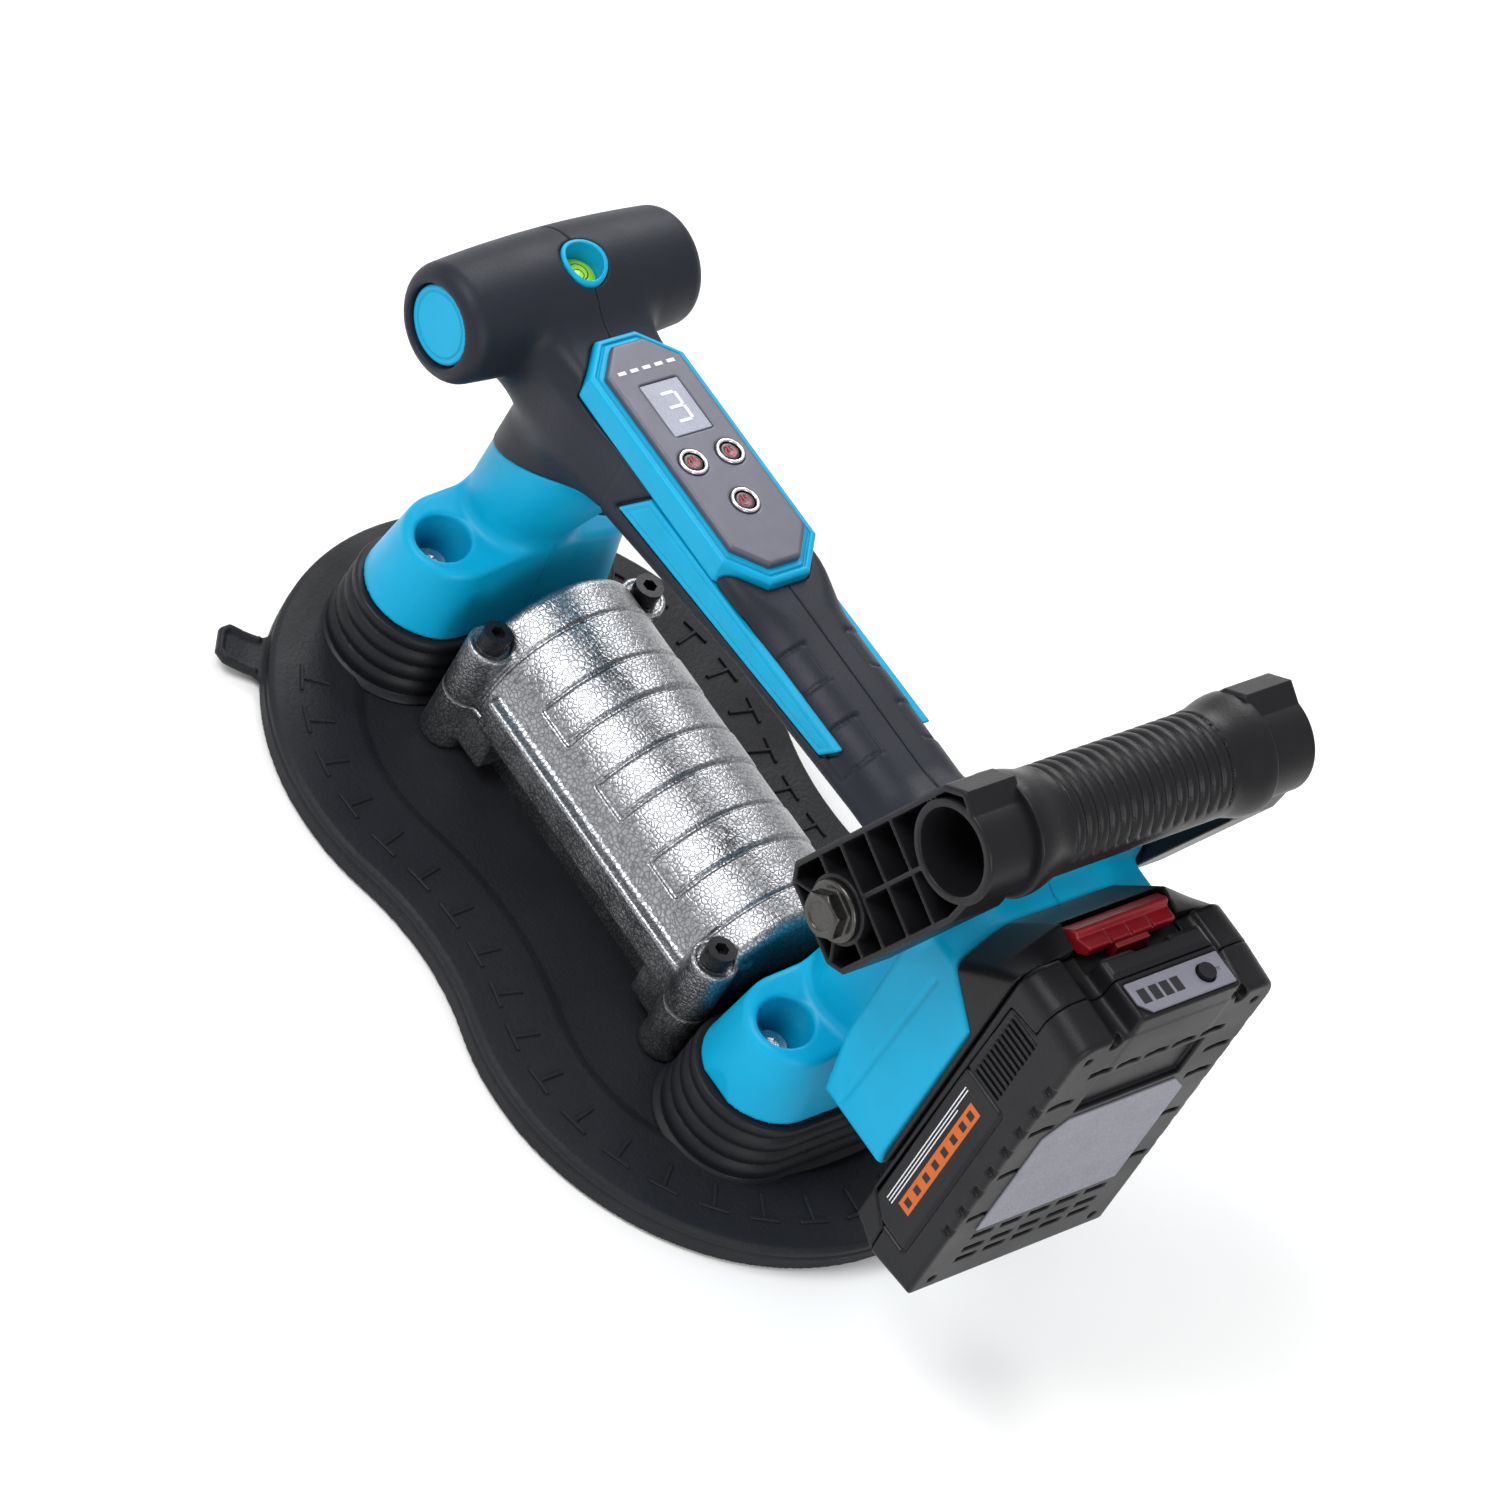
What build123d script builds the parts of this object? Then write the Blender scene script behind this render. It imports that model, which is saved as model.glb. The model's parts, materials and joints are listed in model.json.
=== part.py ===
"""Cordless tile vibrator: a suction base with a vibration motor, carried by a T-shaped grip."""
import os
from math import atan2, cos, degrees, hypot, radians, sin

from build123d import *

os.makedirs("parts", exist_ok=True)

# ---------------------------------------------------------------- driving dimensions (mm)
# Frame: origin at the centre of the base's underside, +X to the battery, +Z up.

# base
LOBE_R, LOBE_X = 82.0, 50.0  # radius of each lobe of the base, and its distance from the centre
WAIST_Y, WAIST_R = 74.5, 88.4  # half-width at the waist, and the radius of the hollow there
SKIRT_BOTTOM, SKIRT_STEP, BAND_TOP, BASIN_FLOOR = 1.0, 6.0, 9.5, 8.0
BAND_WIDTH, STEP_INSET, LIP_WIDTH = 27.5, 2.5, 9.0
PLATE_BOTTOM, PLATE_TOP = 2.5, 4.5
PAD_SIZE = (176.0, 60.0)
SCREW_R = 2.5
RIB_COUNT, RIB_INSET = 44, 14.0
TAB_ANGLE = 230.0
MARK_HEIGHT, MARK_SIDE = 0.6, -1

# vibration motor
MOTOR_Z, ARCH_R = 31.0, 30.0
ARCH_X = (-67.0, 56.0)
FLANGE_Y, FLANGE_Z = 33.0, (28.0, 38.5)
BOSS_X, BOSS_Y, BOSS_R, BOSS_TOP = (-62.0, 52.3), 28.0, 7.0, 48.0
CRADLE_X, CRADLE_Y = (-65.0, 54.0), 20.0
SEAM, GASKET = 28.0, 0.8
BORE_R, CAN_R, SHAFT_R, BEARING_R = 18.1, 18.0, 3.0, 9.5
BORE_X, BEARING_X, CAN_X = (-55.0, 44.0), (-61.0, 50.0), (-32.0, 25.0)
CORE_R, CORE_SLOTS = 12.2, 7
ARCH_GROOVES = (-54.0, 45.0)
PAD_X = ((-38.0, -25.0), (-10.5, 2.0), (17.0, 30.0))  # ends of the bordered pads on the arch
PAD_LOW = 46.0  # height down to which the pads' borders run
HOUSING_BAYS = ((-52.0, -30.0), (-24.0, -8.0), (-2.0, 14.0), (20.0, 41.0))

# feet
FOOT_X, FOOT_Z, FOOT_TOP = (-94.0, 81.0), 32.0, 54.0
FOOT_SIZE = (38.0, 84.0)
RECESS_Y, RECESS_R, RECESS_FLOOR = 27.5, 7.8, 40.0
POST_TOP, POST_R = 20.0, 6.0
FLOAT_TOP = 42.4  # underside of the shoulder screws' heads: the feet can lift this far
BELLOWS_CUFF, BELLOWS_RIBS = 11.0, 4
BELLOWS_SEAT = (FOOT_SIZE[0] + 4.9, FOOT_SIZE[1] + 4.9)
PORT_R, PORT_BORE, HOSE_R, HOSE_BORE = 5.0, 1.4, 4.2, 2.6
COLUMN_R = 16.8

# grip
BAR_X, BAR_Z, BAR_HALF, BAR_R = -121.0, 123.0, 42.5, 19.0
GRIP_Y, GRIP_TOP = 17.0, 133.0
GRIP_X = (-112.0, 72.0)
SEAM_X, SEAM_Z, SEAM_SLOPE = -109.0, 78.0, 0.565  # line where blue plastic meets the overmould
LEVEL_X, LEVEL_R = -117.5, 7.3
CAP_R, CAP_DEEP = 11.6, 4.6
UNDER = ((-62.0, 100.0), (0.0, 108.0), (55.0, 111.0))  # underside of the grip, as (x, z)
OVER_END = 69.0
LEVEL_FLOOR = 124.0
PUMP_R, PUMP_Z = 12.0, (66.0, 104.0)
HOSE_LOW = 12.0
LEVEL_TOP, BOARD_TOP = 141.5, 125.8
BOARD_ROOM = (-85.0, -10.5)
CASE_SCREW_R = 1.6
CASE_BOSSES = ((124.0, 73.0), (122.5, 121.0))
# x, z and half-width of the handle at each case screw
CASE_SCREWS = ((-95.0, 66.0, 16.8), (93.0, 44.0, 35.0), (124.0, 73.0, 37.5), (122.5, 121.0, 37.5))

# control panel
PANEL_X, PANEL_Y, PANEL_LOW = (-96.5, -8.0), 17.3, 125.0
OVERLAY_X, OVERLAY_Y, OVERLAY_TOP = (-92.0, -12.5), 13.6, 136.0
WINDOW = (-68.0, 0.5, 17.5, 12.7)  # x, y, length, width
BUTTONS = {"level_button": (-49.6, -6.7), "suction_button": (-49.6, 6.7), "power_button": (-33.6, 0.5)}
BUTTON_R, RING_R = 3.0, 4.1

# auxiliary handle
PIVOT_X, PIVOT_Z, HUB_R, HUB_Y = 91.5, 137.0, 14.0, 41.0
TUBE_X, TUBE_Z, TUBE_R, TUBE_BORE = 109.5, 186.0, 14.0, 11.9
ARM_IN, ARM_OUT, CELL_DEEP = 41.4, 59.5, 15.5
TUBE_RINGS, TUBE_RING_PITCH = 14, 4.1
BOLT_R, PIVOT_PLAY = 4.0, 0.05

# battery and its dock
SLAB_X, SLAB_Y, SLAB_TOP = (106.0, 133.0), 37.5, 143.5
# half width of the dock's crest, and its (low, high) heights
SHOULDER_Y, SHOULDER_Z = 19.0, (137.5, 159.5)
PACK_X, PACK_Y, PACK_Z = (135.0, 163.0), 37.0, (40.0, 156.0)
BROW_X, BROW_Y, BROW_TOP = 141.5, 18.5, 162.6  # raised middle of the battery's top, behind the release button
PACK_SEAM = 148.0
DOCK_X = 134.6
RAIL_Y, RAIL_Z, BLADE_Y = 20.0, (72.0, 132.0), (-15.0, 15.0)
CELL_R, CELL_L, CELL_COUNT, CELL_PITCH = 9.1, 65.0, 5, 19.2
GAUGE_X, GAUGE_Y, GAUGE_BUTTON_Y = (151.0, 161.0), 16.8, 9.2


# walls of the handle: the overmould's skin, then the hard shell under it
SKIN, WALL = 3.0, 2.5

# ---------------------------------------------------------------- helpers
def save(part, name):
    """Labels a finished piece and writes its STEP file."""
    part.label = name
    export_step(part, f"parts/{name}.step")


def peanut(inset, z):
    """The base's outline, moved inwards by inset: two round lobes joined by a hollow waist."""
    waist_centre = WAIST_Y + WAIST_R
    reach = hypot(LOBE_X, waist_centre)
    radius = LOBE_R - inset
    tx = LOBE_X - radius * LOBE_X / reach
    ty = radius * waist_centre / reach
    end = LOBE_X + radius
    with BuildSketch(Plane.XY.offset(z)) as outline:
        with BuildLine():
            ThreePointArc((tx, ty), (end, 0), (tx, -ty))
            ThreePointArc((tx, -ty), (0, inset - WAIST_Y), (-tx, -ty))
            ThreePointArc((-tx, -ty), (-end, 0), (-tx, ty))
            ThreePointArc((-tx, ty), (0, WAIST_Y - inset), (tx, ty))
        make_face()
    return outline.sketch


def stadium(x, size, z):
    """A slot outline across Y, centred at x."""
    with BuildSketch(Plane.XY.offset(z)) as outline:
        with Locations((x, 0)):
            SlotOverall(size[1], size[0], rotation=90)
    return outline.sketch


def side_profile(points, y=0.0):
    """A closed outline of (x, z) points on a plane that faces -Y."""
    with BuildSketch(Plane.XZ.offset(-y)) as outline:
        with BuildLine():
            Polyline(*points, close=True)
        make_face()
    return outline.sketch


def octagon(x_span, half_width, cut_x, cut_y, z):
    """A rectangle with long cut corners, as the panel and its frame have."""
    low, high = x_span
    points = [
        (low, cut_y - half_width),
        (low + cut_x, -half_width),
        (high - cut_x, -half_width),
        (high, cut_y - half_width),
        (high, half_width - cut_y),
        (high - cut_x, half_width),
        (low + cut_x, half_width),
        (low, half_width - cut_y),
    ]
    with BuildSketch(Plane.XY.offset(z)) as outline:
        with BuildLine():
            Polyline(*points, close=True)
        make_face()
    return outline.sketch


def box_part(x, y, z):
    """A plain block from its (low, high) spans."""
    with BuildPart() as block:
        with Locations(((x[0] + x[1]) / 2, (y[0] + y[1]) / 2, (z[0] + z[1]) / 2)):
            Box(x[1] - x[0], y[1] - y[0], z[1] - z[0])
    return block.part


def rod(origin, z_dir, radius, length):
    """A plain round bar that starts at origin and runs along z_dir."""
    with BuildPart(Plane(origin=origin, z_dir=z_dir)) as bar:
        Cylinder(radius, length, align=(Align.CENTER, Align.CENTER, Align.MIN))
    return bar.part


def halves(whole, name):
    """Splits a piece at the mid plane and saves the left (-Y) and right (+Y) halves."""
    with BuildPart() as left:
        add(whole)
        split(bisect_by=Plane.XZ, keep=Keep.TOP)
    with BuildPart() as right:
        add(whole)
        split(bisect_by=Plane.XZ, keep=Keep.BOTTOM)
    save(left.part, f"{name}_left")
    save(right.part, f"{name}_right")


foot_spots = [(x, y) for x in FOOT_X for y in (-RECESS_Y, RECESS_Y)]
boss_spots = [(x, y) for x in BOSS_X for y in (-BOSS_Y, BOSS_Y)]

# ---------------------------------------------------------------- base: skirt, plate and pads
rib_line = peanut(RIB_INSET, BAND_TOP).wire()
tab_out = (cos(radians(TAB_ANGLE)), sin(radians(TAB_ANGLE)))
TAB_START, TAB_END, TAB_ROOT, TAB_TIP, TAB_THICK = 79.0, 97.0, 19.0, 14.0, 3.0
with BuildPart() as suction_skirt:
    extrude(peanut(0, SKIRT_BOTTOM), amount=SKIRT_STEP - SKIRT_BOTTOM)
    extrude(peanut(STEP_INSET, SKIRT_STEP), amount=BAND_TOP - SKIRT_STEP)
    extrude(peanut(BAND_WIDTH, BASIN_FLOOR), amount=BAND_TOP, mode=Mode.SUBTRACT)
    extrude(peanut(LIP_WIDTH, SKIRT_BOTTOM), amount=PLATE_TOP - SKIRT_BOTTOM, mode=Mode.SUBTRACT)
    # groove for the foam ring
    with BuildSketch(Plane.XY.offset(SKIRT_BOTTOM)) as groove:
        add(peanut(2.0, SKIRT_BOTTOM))
        add(peanut(LIP_WIDTH - 2.0, SKIRT_BOTTOM), mode=Mode.SUBTRACT)
    extrude(groove.sketch, amount=2.0, mode=Mode.SUBTRACT)
    # raised T marks round the band, crossbar outwards
    with BuildSketch(Plane.XY.offset(BAND_TOP)) as marks:
        for i in range(RIB_COUNT):
            share = (i + 0.5) / RIB_COUNT
            spot = rib_line @ share
            along = rib_line % share
            facing = degrees(atan2(along.Y, along.X))
            with Locations(Location((spot.X, spot.Y), facing)):
                Rectangle(1.2, 9.0)
                with Locations((0, MARK_SIDE * 4.6)):
                    Rectangle(9.5, 1.2)
    extrude(marks.sketch, amount=MARK_HEIGHT)
    # pull tab that breaks the suction
    with BuildSketch(Plane(origin=(-LOBE_X, 0, 2.5), x_dir=(*tab_out, 0))) as tab:
        with BuildLine():
            Polyline(
                (TAB_START, -TAB_ROOT / 2),
                (TAB_START + 6, -TAB_TIP / 2),
                (TAB_END - 3, -TAB_TIP / 2),
                (TAB_END, 3 - TAB_TIP / 2),
                (TAB_END, TAB_TIP / 2 - 3),
                (TAB_END - 3, TAB_TIP / 2),
                (TAB_START + 6, TAB_TIP / 2),
                (TAB_START, TAB_ROOT / 2),
                close=True,
            )
        make_face()
    extrude(tab.sketch, amount=TAB_THICK)
    # seats for the bellows, where they overlap the band
    for x in FOOT_X:
        extrude(stadium(x, BELLOWS_SEAT, BASIN_FLOOR), amount=6, mode=Mode.SUBTRACT)
    # opening for the motor cradle, and holes for the posts, screws and suction port
    with Locations(((CRADLE_X[0] + CRADLE_X[1]) / 2, 0, BASIN_FLOOR)):
        Box(CRADLE_X[1] - CRADLE_X[0] + 0.4, 2 * CRADLE_Y + 0.4, 12, mode=Mode.SUBTRACT)
    with Locations(*[(x, y, BASIN_FLOOR) for x, y in foot_spots]):
        Cylinder(POST_R + 0.2, 12, mode=Mode.SUBTRACT)
    with Locations(*[(x, y, BASIN_FLOOR) for x, y in boss_spots]):
        Cylinder(SCREW_R + 0.2, 12, mode=Mode.SUBTRACT)
    with Locations((FOOT_X[1], 0, BASIN_FLOOR)):
        Cylinder(PORT_R + 0.2, 12, mode=Mode.SUBTRACT)
save(suction_skirt.part, "suction_skirt")

with BuildPart() as sealing_ring:
    extrude(peanut(2.2, 0), amount=SKIRT_BOTTOM + 1.9)
    extrude(peanut(LIP_WIDTH - 2.2, 0), amount=SKIRT_BOTTOM + 2.0, mode=Mode.SUBTRACT)
save(sealing_ring.part, "sealing_ring")

with BuildPart() as base_plate:
    extrude(peanut(LIP_WIDTH + 0.2, PLATE_BOTTOM), amount=PLATE_TOP - PLATE_BOTTOM)
    with Locations(*[(x, y, PLATE_TOP) for x, y in boss_spots]):
        Cylinder(SCREW_R, 12, mode=Mode.SUBTRACT)
    with Locations((FOOT_X[1], 0, PLATE_TOP)):
        Cylinder(PORT_BORE, 12, mode=Mode.SUBTRACT)
save(base_plate.part, "base_plate")

with BuildPart() as contact_pad:
    with BuildSketch(Plane.XY) as pad:
        SlotOverall(PAD_SIZE[0], PAD_SIZE[1])
    extrude(pad.sketch, amount=PLATE_BOTTOM)
    # grooves that let the tile's dust and air out to the suction port
    with Locations(*[(x, 0, 0) for x in range(-60, 61, 20)]):
        Box(3, PAD_SIZE[1], 2.4, mode=Mode.SUBTRACT)
save(contact_pad.part, "contact_pad")

# suction port: a barbed nipple on the plate, under the rear foot
with BuildPart(Plane.XY.offset(PLATE_TOP)) as suction_port:
    Cylinder(PORT_R, 6, align=(Align.CENTER, Align.CENTER, Align.MIN))
    Cylinder(HOSE_BORE - 0.1, 18, align=(Align.CENTER, Align.CENTER, Align.MIN))
    Cylinder(PORT_BORE, 18, align=(Align.CENTER, Align.CENTER, Align.MIN), mode=Mode.SUBTRACT)
save(suction_port.part.moved(Location((FOOT_X[1], 0, 0))), "suction_port")

# posts that guide the feet, with a rubber spring and a shoulder screw on each
with BuildPart() as mount_posts:
    with Locations(*[(x, y, PLATE_TOP) for x, y in foot_spots]):
        Cylinder(POST_R, POST_TOP - PLATE_TOP, align=(Align.CENTER, Align.CENTER, Align.MIN))
        Cylinder(SCREW_R, POST_TOP, align=(Align.CENTER, Align.CENTER, Align.MIN), mode=Mode.SUBTRACT)
save(mount_posts.part, "mount_posts")

with BuildPart() as rubber_springs:
    with Locations(*[(x, y, POST_TOP) for x, y in foot_spots]):
        Cylinder(POST_R, FOOT_Z - POST_TOP, align=(Align.CENTER, Align.CENTER, Align.MIN))
        Cylinder(SCREW_R + 0.5, 30, mode=Mode.SUBTRACT)
save(rubber_springs.part, "rubber_springs")

with BuildPart() as foot_screws:
    with Locations(*[(x, y, PLATE_TOP) for x, y in foot_spots]):
        Cylinder(SCREW_R, FLOAT_TOP - PLATE_TOP, align=(Align.CENTER, Align.CENTER, Align.MIN))
    with Locations(*[(x, y, FLOAT_TOP) for x, y in foot_spots]):
        Cylinder(4.6, 4.0, align=(Align.CENTER, Align.CENTER, Align.MIN))
    with BuildSketch(Plane.XY.offset(FLOAT_TOP + 4.0)) as sockets:
        with Locations(*foot_spots):
            RegularPolygon(2.3, 6)
    extrude(sockets.sketch, amount=-2.4, mode=Mode.SUBTRACT)
save(foot_screws.part, "foot_screws")


# rubber bellows between the base and each foot
def bellows(x):
    """A stack of tapered slot rings on a plain cuff, open through the middle."""
    pitch = (FOOT_Z - BELLOWS_CUFF) / BELLOWS_RIBS
    small = (FOOT_SIZE[0] + 1.0, FOOT_SIZE[1] + 1.0)
    large = (FOOT_SIZE[0] + 4.5, FOOT_SIZE[1] + 4.5)
    with BuildPart() as part:
        extrude(stadium(x, large, BASIN_FLOOR), amount=BELLOWS_CUFF - BASIN_FLOOR)
        for i in range(BELLOWS_RIBS):
            low = BELLOWS_CUFF + i * pitch
            loft([stadium(x, small, low), stadium(x, large, low + 0.4 * pitch)])
            extrude(stadium(x, large, low + 0.4 * pitch), amount=0.25 * pitch)
            loft([stadium(x, large, low + 0.65 * pitch), stadium(x, small, low + pitch)])
        bore = (FOOT_SIZE[0] - 4.0, FOOT_SIZE[1] - 4.0)
        extrude(stadium(x, bore, BASIN_FLOOR), amount=FOOT_Z, mode=Mode.SUBTRACT)
    return part.part


save(bellows(FOOT_X[0]), "front_bellows")
save(bellows(FOOT_X[1]), "rear_bellows")


# ---------------------------------------------------------------- vibration motor
def bar_along_x(radius, x, y=0.0, z=MOTOR_Z):
    """A round bar along X from its (low, high) span."""
    return rod((x[0], y, z), (1, 0, 0), radius, x[1] - x[0])


def boss(x, y, z):
    """The round screw boss at (x, y), from its (low, high) heights, with a web to the housing."""
    side = 1 if y > 0 else -1
    with BuildPart() as part:
        with Locations((x, y, z[0])):
            Cylinder(BOSS_R, z[1] - z[0], align=(Align.CENTER, Align.CENTER, Align.MIN))
        with Locations((x, y - side * 6, (z[0] + z[1]) / 2)):
            Box(9.0, 12.0, z[1] - z[0])
    return part.part


lower_top = SEAM - GASKET / 2
upper_low = SEAM + GASKET / 2
with BuildPart() as motor_lower_housing:
    add(box_part(CRADLE_X, (-CRADLE_Y, CRADLE_Y), (PLATE_TOP, lower_top)))
    for x, y in boss_spots:
        add(boss(x, y, (BASIN_FLOOR + 0.2, lower_top)))
    for x in (-52.0, 43.0):
        for y in (-1, 1):
            add(box_part((x - 8, x + 8), sorted((y * 18.0, y * 30.0)), (13.0, lower_top)))
    add(bar_along_x(BORE_R, BORE_X), mode=Mode.SUBTRACT)
    add(bar_along_x(BEARING_R, BEARING_X), mode=Mode.SUBTRACT)
    with Locations(*[(x, y, 20) for x, y in boss_spots]):
        Cylinder(SCREW_R + 0.2, 60, mode=Mode.SUBTRACT)
save(motor_lower_housing.part, "motor_lower_housing")

with BuildPart() as housing_gasket:
    with BuildSketch(Plane.XY.offset(lower_top)) as gasket:
        with Locations(((CRADLE_X[0] + CRADLE_X[1]) / 2, 0)):
            Rectangle(CRADLE_X[1] - CRADLE_X[0], 2 * CRADLE_Y)
        with Locations(*boss_spots):
            Circle(BOSS_R)
        with Locations(*[(x, y * 0.79) for x, y in boss_spots]):
            Rectangle(9.0, 12.0)
        with Locations(((BORE_X[0] + BORE_X[1]) / 2, 0)):
            Rectangle(BORE_X[1] - BORE_X[0], 2 * BORE_R, mode=Mode.SUBTRACT)
        with Locations(((BEARING_X[0] + BEARING_X[1]) / 2, 0)):
            Rectangle(BEARING_X[1] - BEARING_X[0], 2 * BEARING_R, mode=Mode.SUBTRACT)
        with Locations(*boss_spots):
            Circle(SCREW_R + 0.2, mode=Mode.SUBTRACT)
    extrude(gasket.sketch, amount=GASKET)
save(housing_gasket.part, "housing_gasket")

with BuildPart() as arch:
    add(bar_along_x(ARCH_R, ARCH_X))
    fillet(arch.edges().filter_by(GeomType.CIRCLE), 4.0)
    # fine grooves round the ends of the arch
    for x in ARCH_GROOVES:
        add(bar_along_x(ARCH_R + 1, (x - 0.7, x + 0.7)), mode=Mode.SUBTRACT)
        add(bar_along_x(ARCH_R - 0.9, (x - 0.7, x + 0.7)))
    # grooves across the crown that border the raised pads, and fade out down its sides
    with BuildPart() as pad_grooves:
        for x in [x for pad in PAD_X for x in pad]:
            add(bar_along_x(ARCH_R + 1, (x - 0.7, x + 0.7)))
            add(bar_along_x(ARCH_R - 0.9, (x - 0.7, x + 0.7)), mode=Mode.SUBTRACT)
        add(box_part((-80, 70), (-40, 40), (PAD_LOW, 80)), mode=Mode.INTERSECT)
    add(pad_grooves.part, mode=Mode.SUBTRACT)
    add(box_part((-80, 70), (-40, 40), (-10, upper_low)), mode=Mode.SUBTRACT)
with BuildPart() as motor_upper_housing:
    add(arch.part)
    add(box_part((ARCH_X[0] + 16.5, ARCH_X[1] - 7.0), (-FLANGE_Y, FLANGE_Y), (upper_low, FLANGE_Z[1])))
    for x, y in boss_spots:
        add(boss(x, y, (upper_low, BOSS_TOP)))
    for low, high in HOUSING_BAYS:
        add(bar_along_x(ARCH_R - 3.5, (low, high)), mode=Mode.SUBTRACT)
    for low, high in HOUSING_BAYS:
        for y in (-1, 1):
            add(box_part((low, high), sorted((y * BORE_R, y * FLANGE_Y)), (upper_low, MOTOR_Z + 1)))
    add(bar_along_x(BORE_R, BORE_X), mode=Mode.SUBTRACT)
    add(bar_along_x(BEARING_R, BEARING_X), mode=Mode.SUBTRACT)
    with Locations(*[(x, y, 40) for x, y in boss_spots]):
        Cylinder(SCREW_R + 0.2, 60, mode=Mode.SUBTRACT)
    with Locations(*[(x, y, BOSS_TOP) for x, y in boss_spots]):
        Cylinder(5.2, 20, align=(Align.CENTER, Align.CENTER, Align.MIN), mode=Mode.SUBTRACT)
save(motor_upper_housing.part, "motor_upper_housing")

with BuildPart() as housing_screws:
    with Locations(*[(x, y, PLATE_BOTTOM) for x, y in boss_spots]):
        Cylinder(SCREW_R, BOSS_TOP - PLATE_BOTTOM, align=(Align.CENTER, Align.CENTER, Align.MIN))
    with Locations(*[(x, y, BOSS_TOP) for x, y in boss_spots]):
        Cylinder(4.3, 5.2, align=(Align.CENTER, Align.CENTER, Align.MIN))
    with BuildSketch(Plane.XY.offset(BOSS_TOP + 5.2)) as sockets:
        with Locations(*boss_spots):
            RegularPolygon(2.2, 6)
    extrude(sockets.sketch, amount=-3.0, mode=Mode.SUBTRACT)
save(housing_screws.part, "housing_screws")

with BuildPart() as motor_can:
    add(bar_along_x(CAN_R, CAN_X))
    add(bar_along_x(CAN_R - 1.5, (CAN_X[0] + 2, CAN_X[1] + 1)), mode=Mode.SUBTRACT)
    add(bar_along_x(5.0, (CAN_X[0] - 1, CAN_X[1])), mode=Mode.SUBTRACT)
save(motor_can.part, "motor_can")

with BuildPart() as brush_holder:
    add(bar_along_x(CAN_R - 1.5, (CAN_X[1] - 5, CAN_X[1])))
    add(bar_along_x(SHAFT_R + 2.5, (CAN_X[1] - 6, CAN_X[1] + 1)), mode=Mode.SUBTRACT)
    for y in (-1, 1):
        add(box_part((CAN_X[1] - 13, CAN_X[1] - 5), sorted((y * 5.3, y * 12.0)), (MOTOR_Z - 3, MOTOR_Z + 3)))
save(brush_holder.part, "brush_holder")

with BuildPart() as field_magnets:
    add(bar_along_x(CAN_R - 1.5, (-26.0, 9.0)))
    add(bar_along_x(CORE_R + 0.6, (-27.0, 10.0)), mode=Mode.SUBTRACT)
    for z in (-1, 1):
        add(box_part((-27, 10), (-6, 6), sorted((MOTOR_Z + z * 9, MOTOR_Z + z * 20))), mode=Mode.SUBTRACT)
save(field_magnets.part, "field_magnets")

with BuildPart() as rotor_bearings:
    for x in (BEARING_X[0], BEARING_X[1] - 6):
        add(bar_along_x(BEARING_R, (x, x + 6)))
        # shields sunk between the two rings
        for low, high in ((x - 1, x + 0.6), (x + 5.4, x + 7)):
            add(bar_along_x(7.8, (low, high)), mode=Mode.SUBTRACT)
        add(bar_along_x(5.2, (x, x + 6)))
        add(bar_along_x(SHAFT_R + 0.05, (x - 1, x + 7)), mode=Mode.SUBTRACT)
save(rotor_bearings.part, "rotor_bearings")

# rotor: everything that spins
save(bar_along_x(SHAFT_R, (BEARING_X[0] + 0.5, BEARING_X[1] - 0.5)), "rotor_shaft")

with BuildPart() as rotor_core:
    add(bar_along_x(CORE_R, (-24.0, 8.0)))
    for i in range(CORE_SLOTS):
        angle = radians(360 / CORE_SLOTS * i)
        spot = (9.2 * cos(angle), 9.2 * sin(angle))
        add(bar_along_x(2.2, (-25.0, 9.0), spot[0], MOTOR_Z + spot[1]), mode=Mode.SUBTRACT)
    add(bar_along_x(SHAFT_R, (-30.0, 20.0)), mode=Mode.SUBTRACT)
save(rotor_core.part, "rotor_core")

with BuildPart() as commutator:
    add(bar_along_x(5.0, (10.0, 21.0)))
    add(bar_along_x(SHAFT_R, (9.0, 22.0)), mode=Mode.SUBTRACT)
save(commutator.part, "commutator")

with BuildPart() as eccentric_weights:
    for span in ((-51.0, -38.0), (30.0, 41.0)):
        add(bar_along_x(15.0, span))
        upper_part = box_part((span[0] - 1, span[1] + 1), (-20, 20), (MOTOR_Z + 4.5, MOTOR_Z + 20))
        add(upper_part, mode=Mode.SUBTRACT)
        add(bar_along_x(SHAFT_R, (span[0] - 1, span[1] + 1)), mode=Mode.SUBTRACT)
save(eccentric_weights.part, "eccentric_weights")


# ---------------------------------------------------------------- handle
def across(profile, half_width):
    """Extrudes an (x, z) profile evenly to both sides of the mid plane."""
    with BuildPart() as part:
        extrude(profile, amount=half_width, both=True)
    return part.part


def t_bar(inset):
    """The barrel-shaped cross bar, moved inwards by inset."""
    end = BAR_HALF - inset
    radius = BAR_R - inset
    plane = Plane(origin=(BAR_X, 0, BAR_Z), x_dir=(0, 1, 0), z_dir=(1, 0, 0))
    with BuildPart() as part:
        with BuildSketch(plane):
            with BuildLine():
                Polyline((-end, 0), (-end, radius - 5.0))
                ThreePointArc((-end, radius - 5.0), (-end + 1.3, radius - 2.6), (-end + 4.0, radius - 1.6))
                ThreePointArc((-end + 4.0, radius - 1.6), (0, radius), (end - 4.0, radius - 1.6))
                ThreePointArc((end - 4.0, radius - 1.6), (end - 1.3, radius - 2.6), (end, radius - 5.0))
                Polyline((end, radius - 5.0), (end, 0), (-end, 0))
            make_face()
        revolve(axis=Axis((BAR_X, 0, BAR_Z), (0, 1, 0)))
    return part.part


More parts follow.
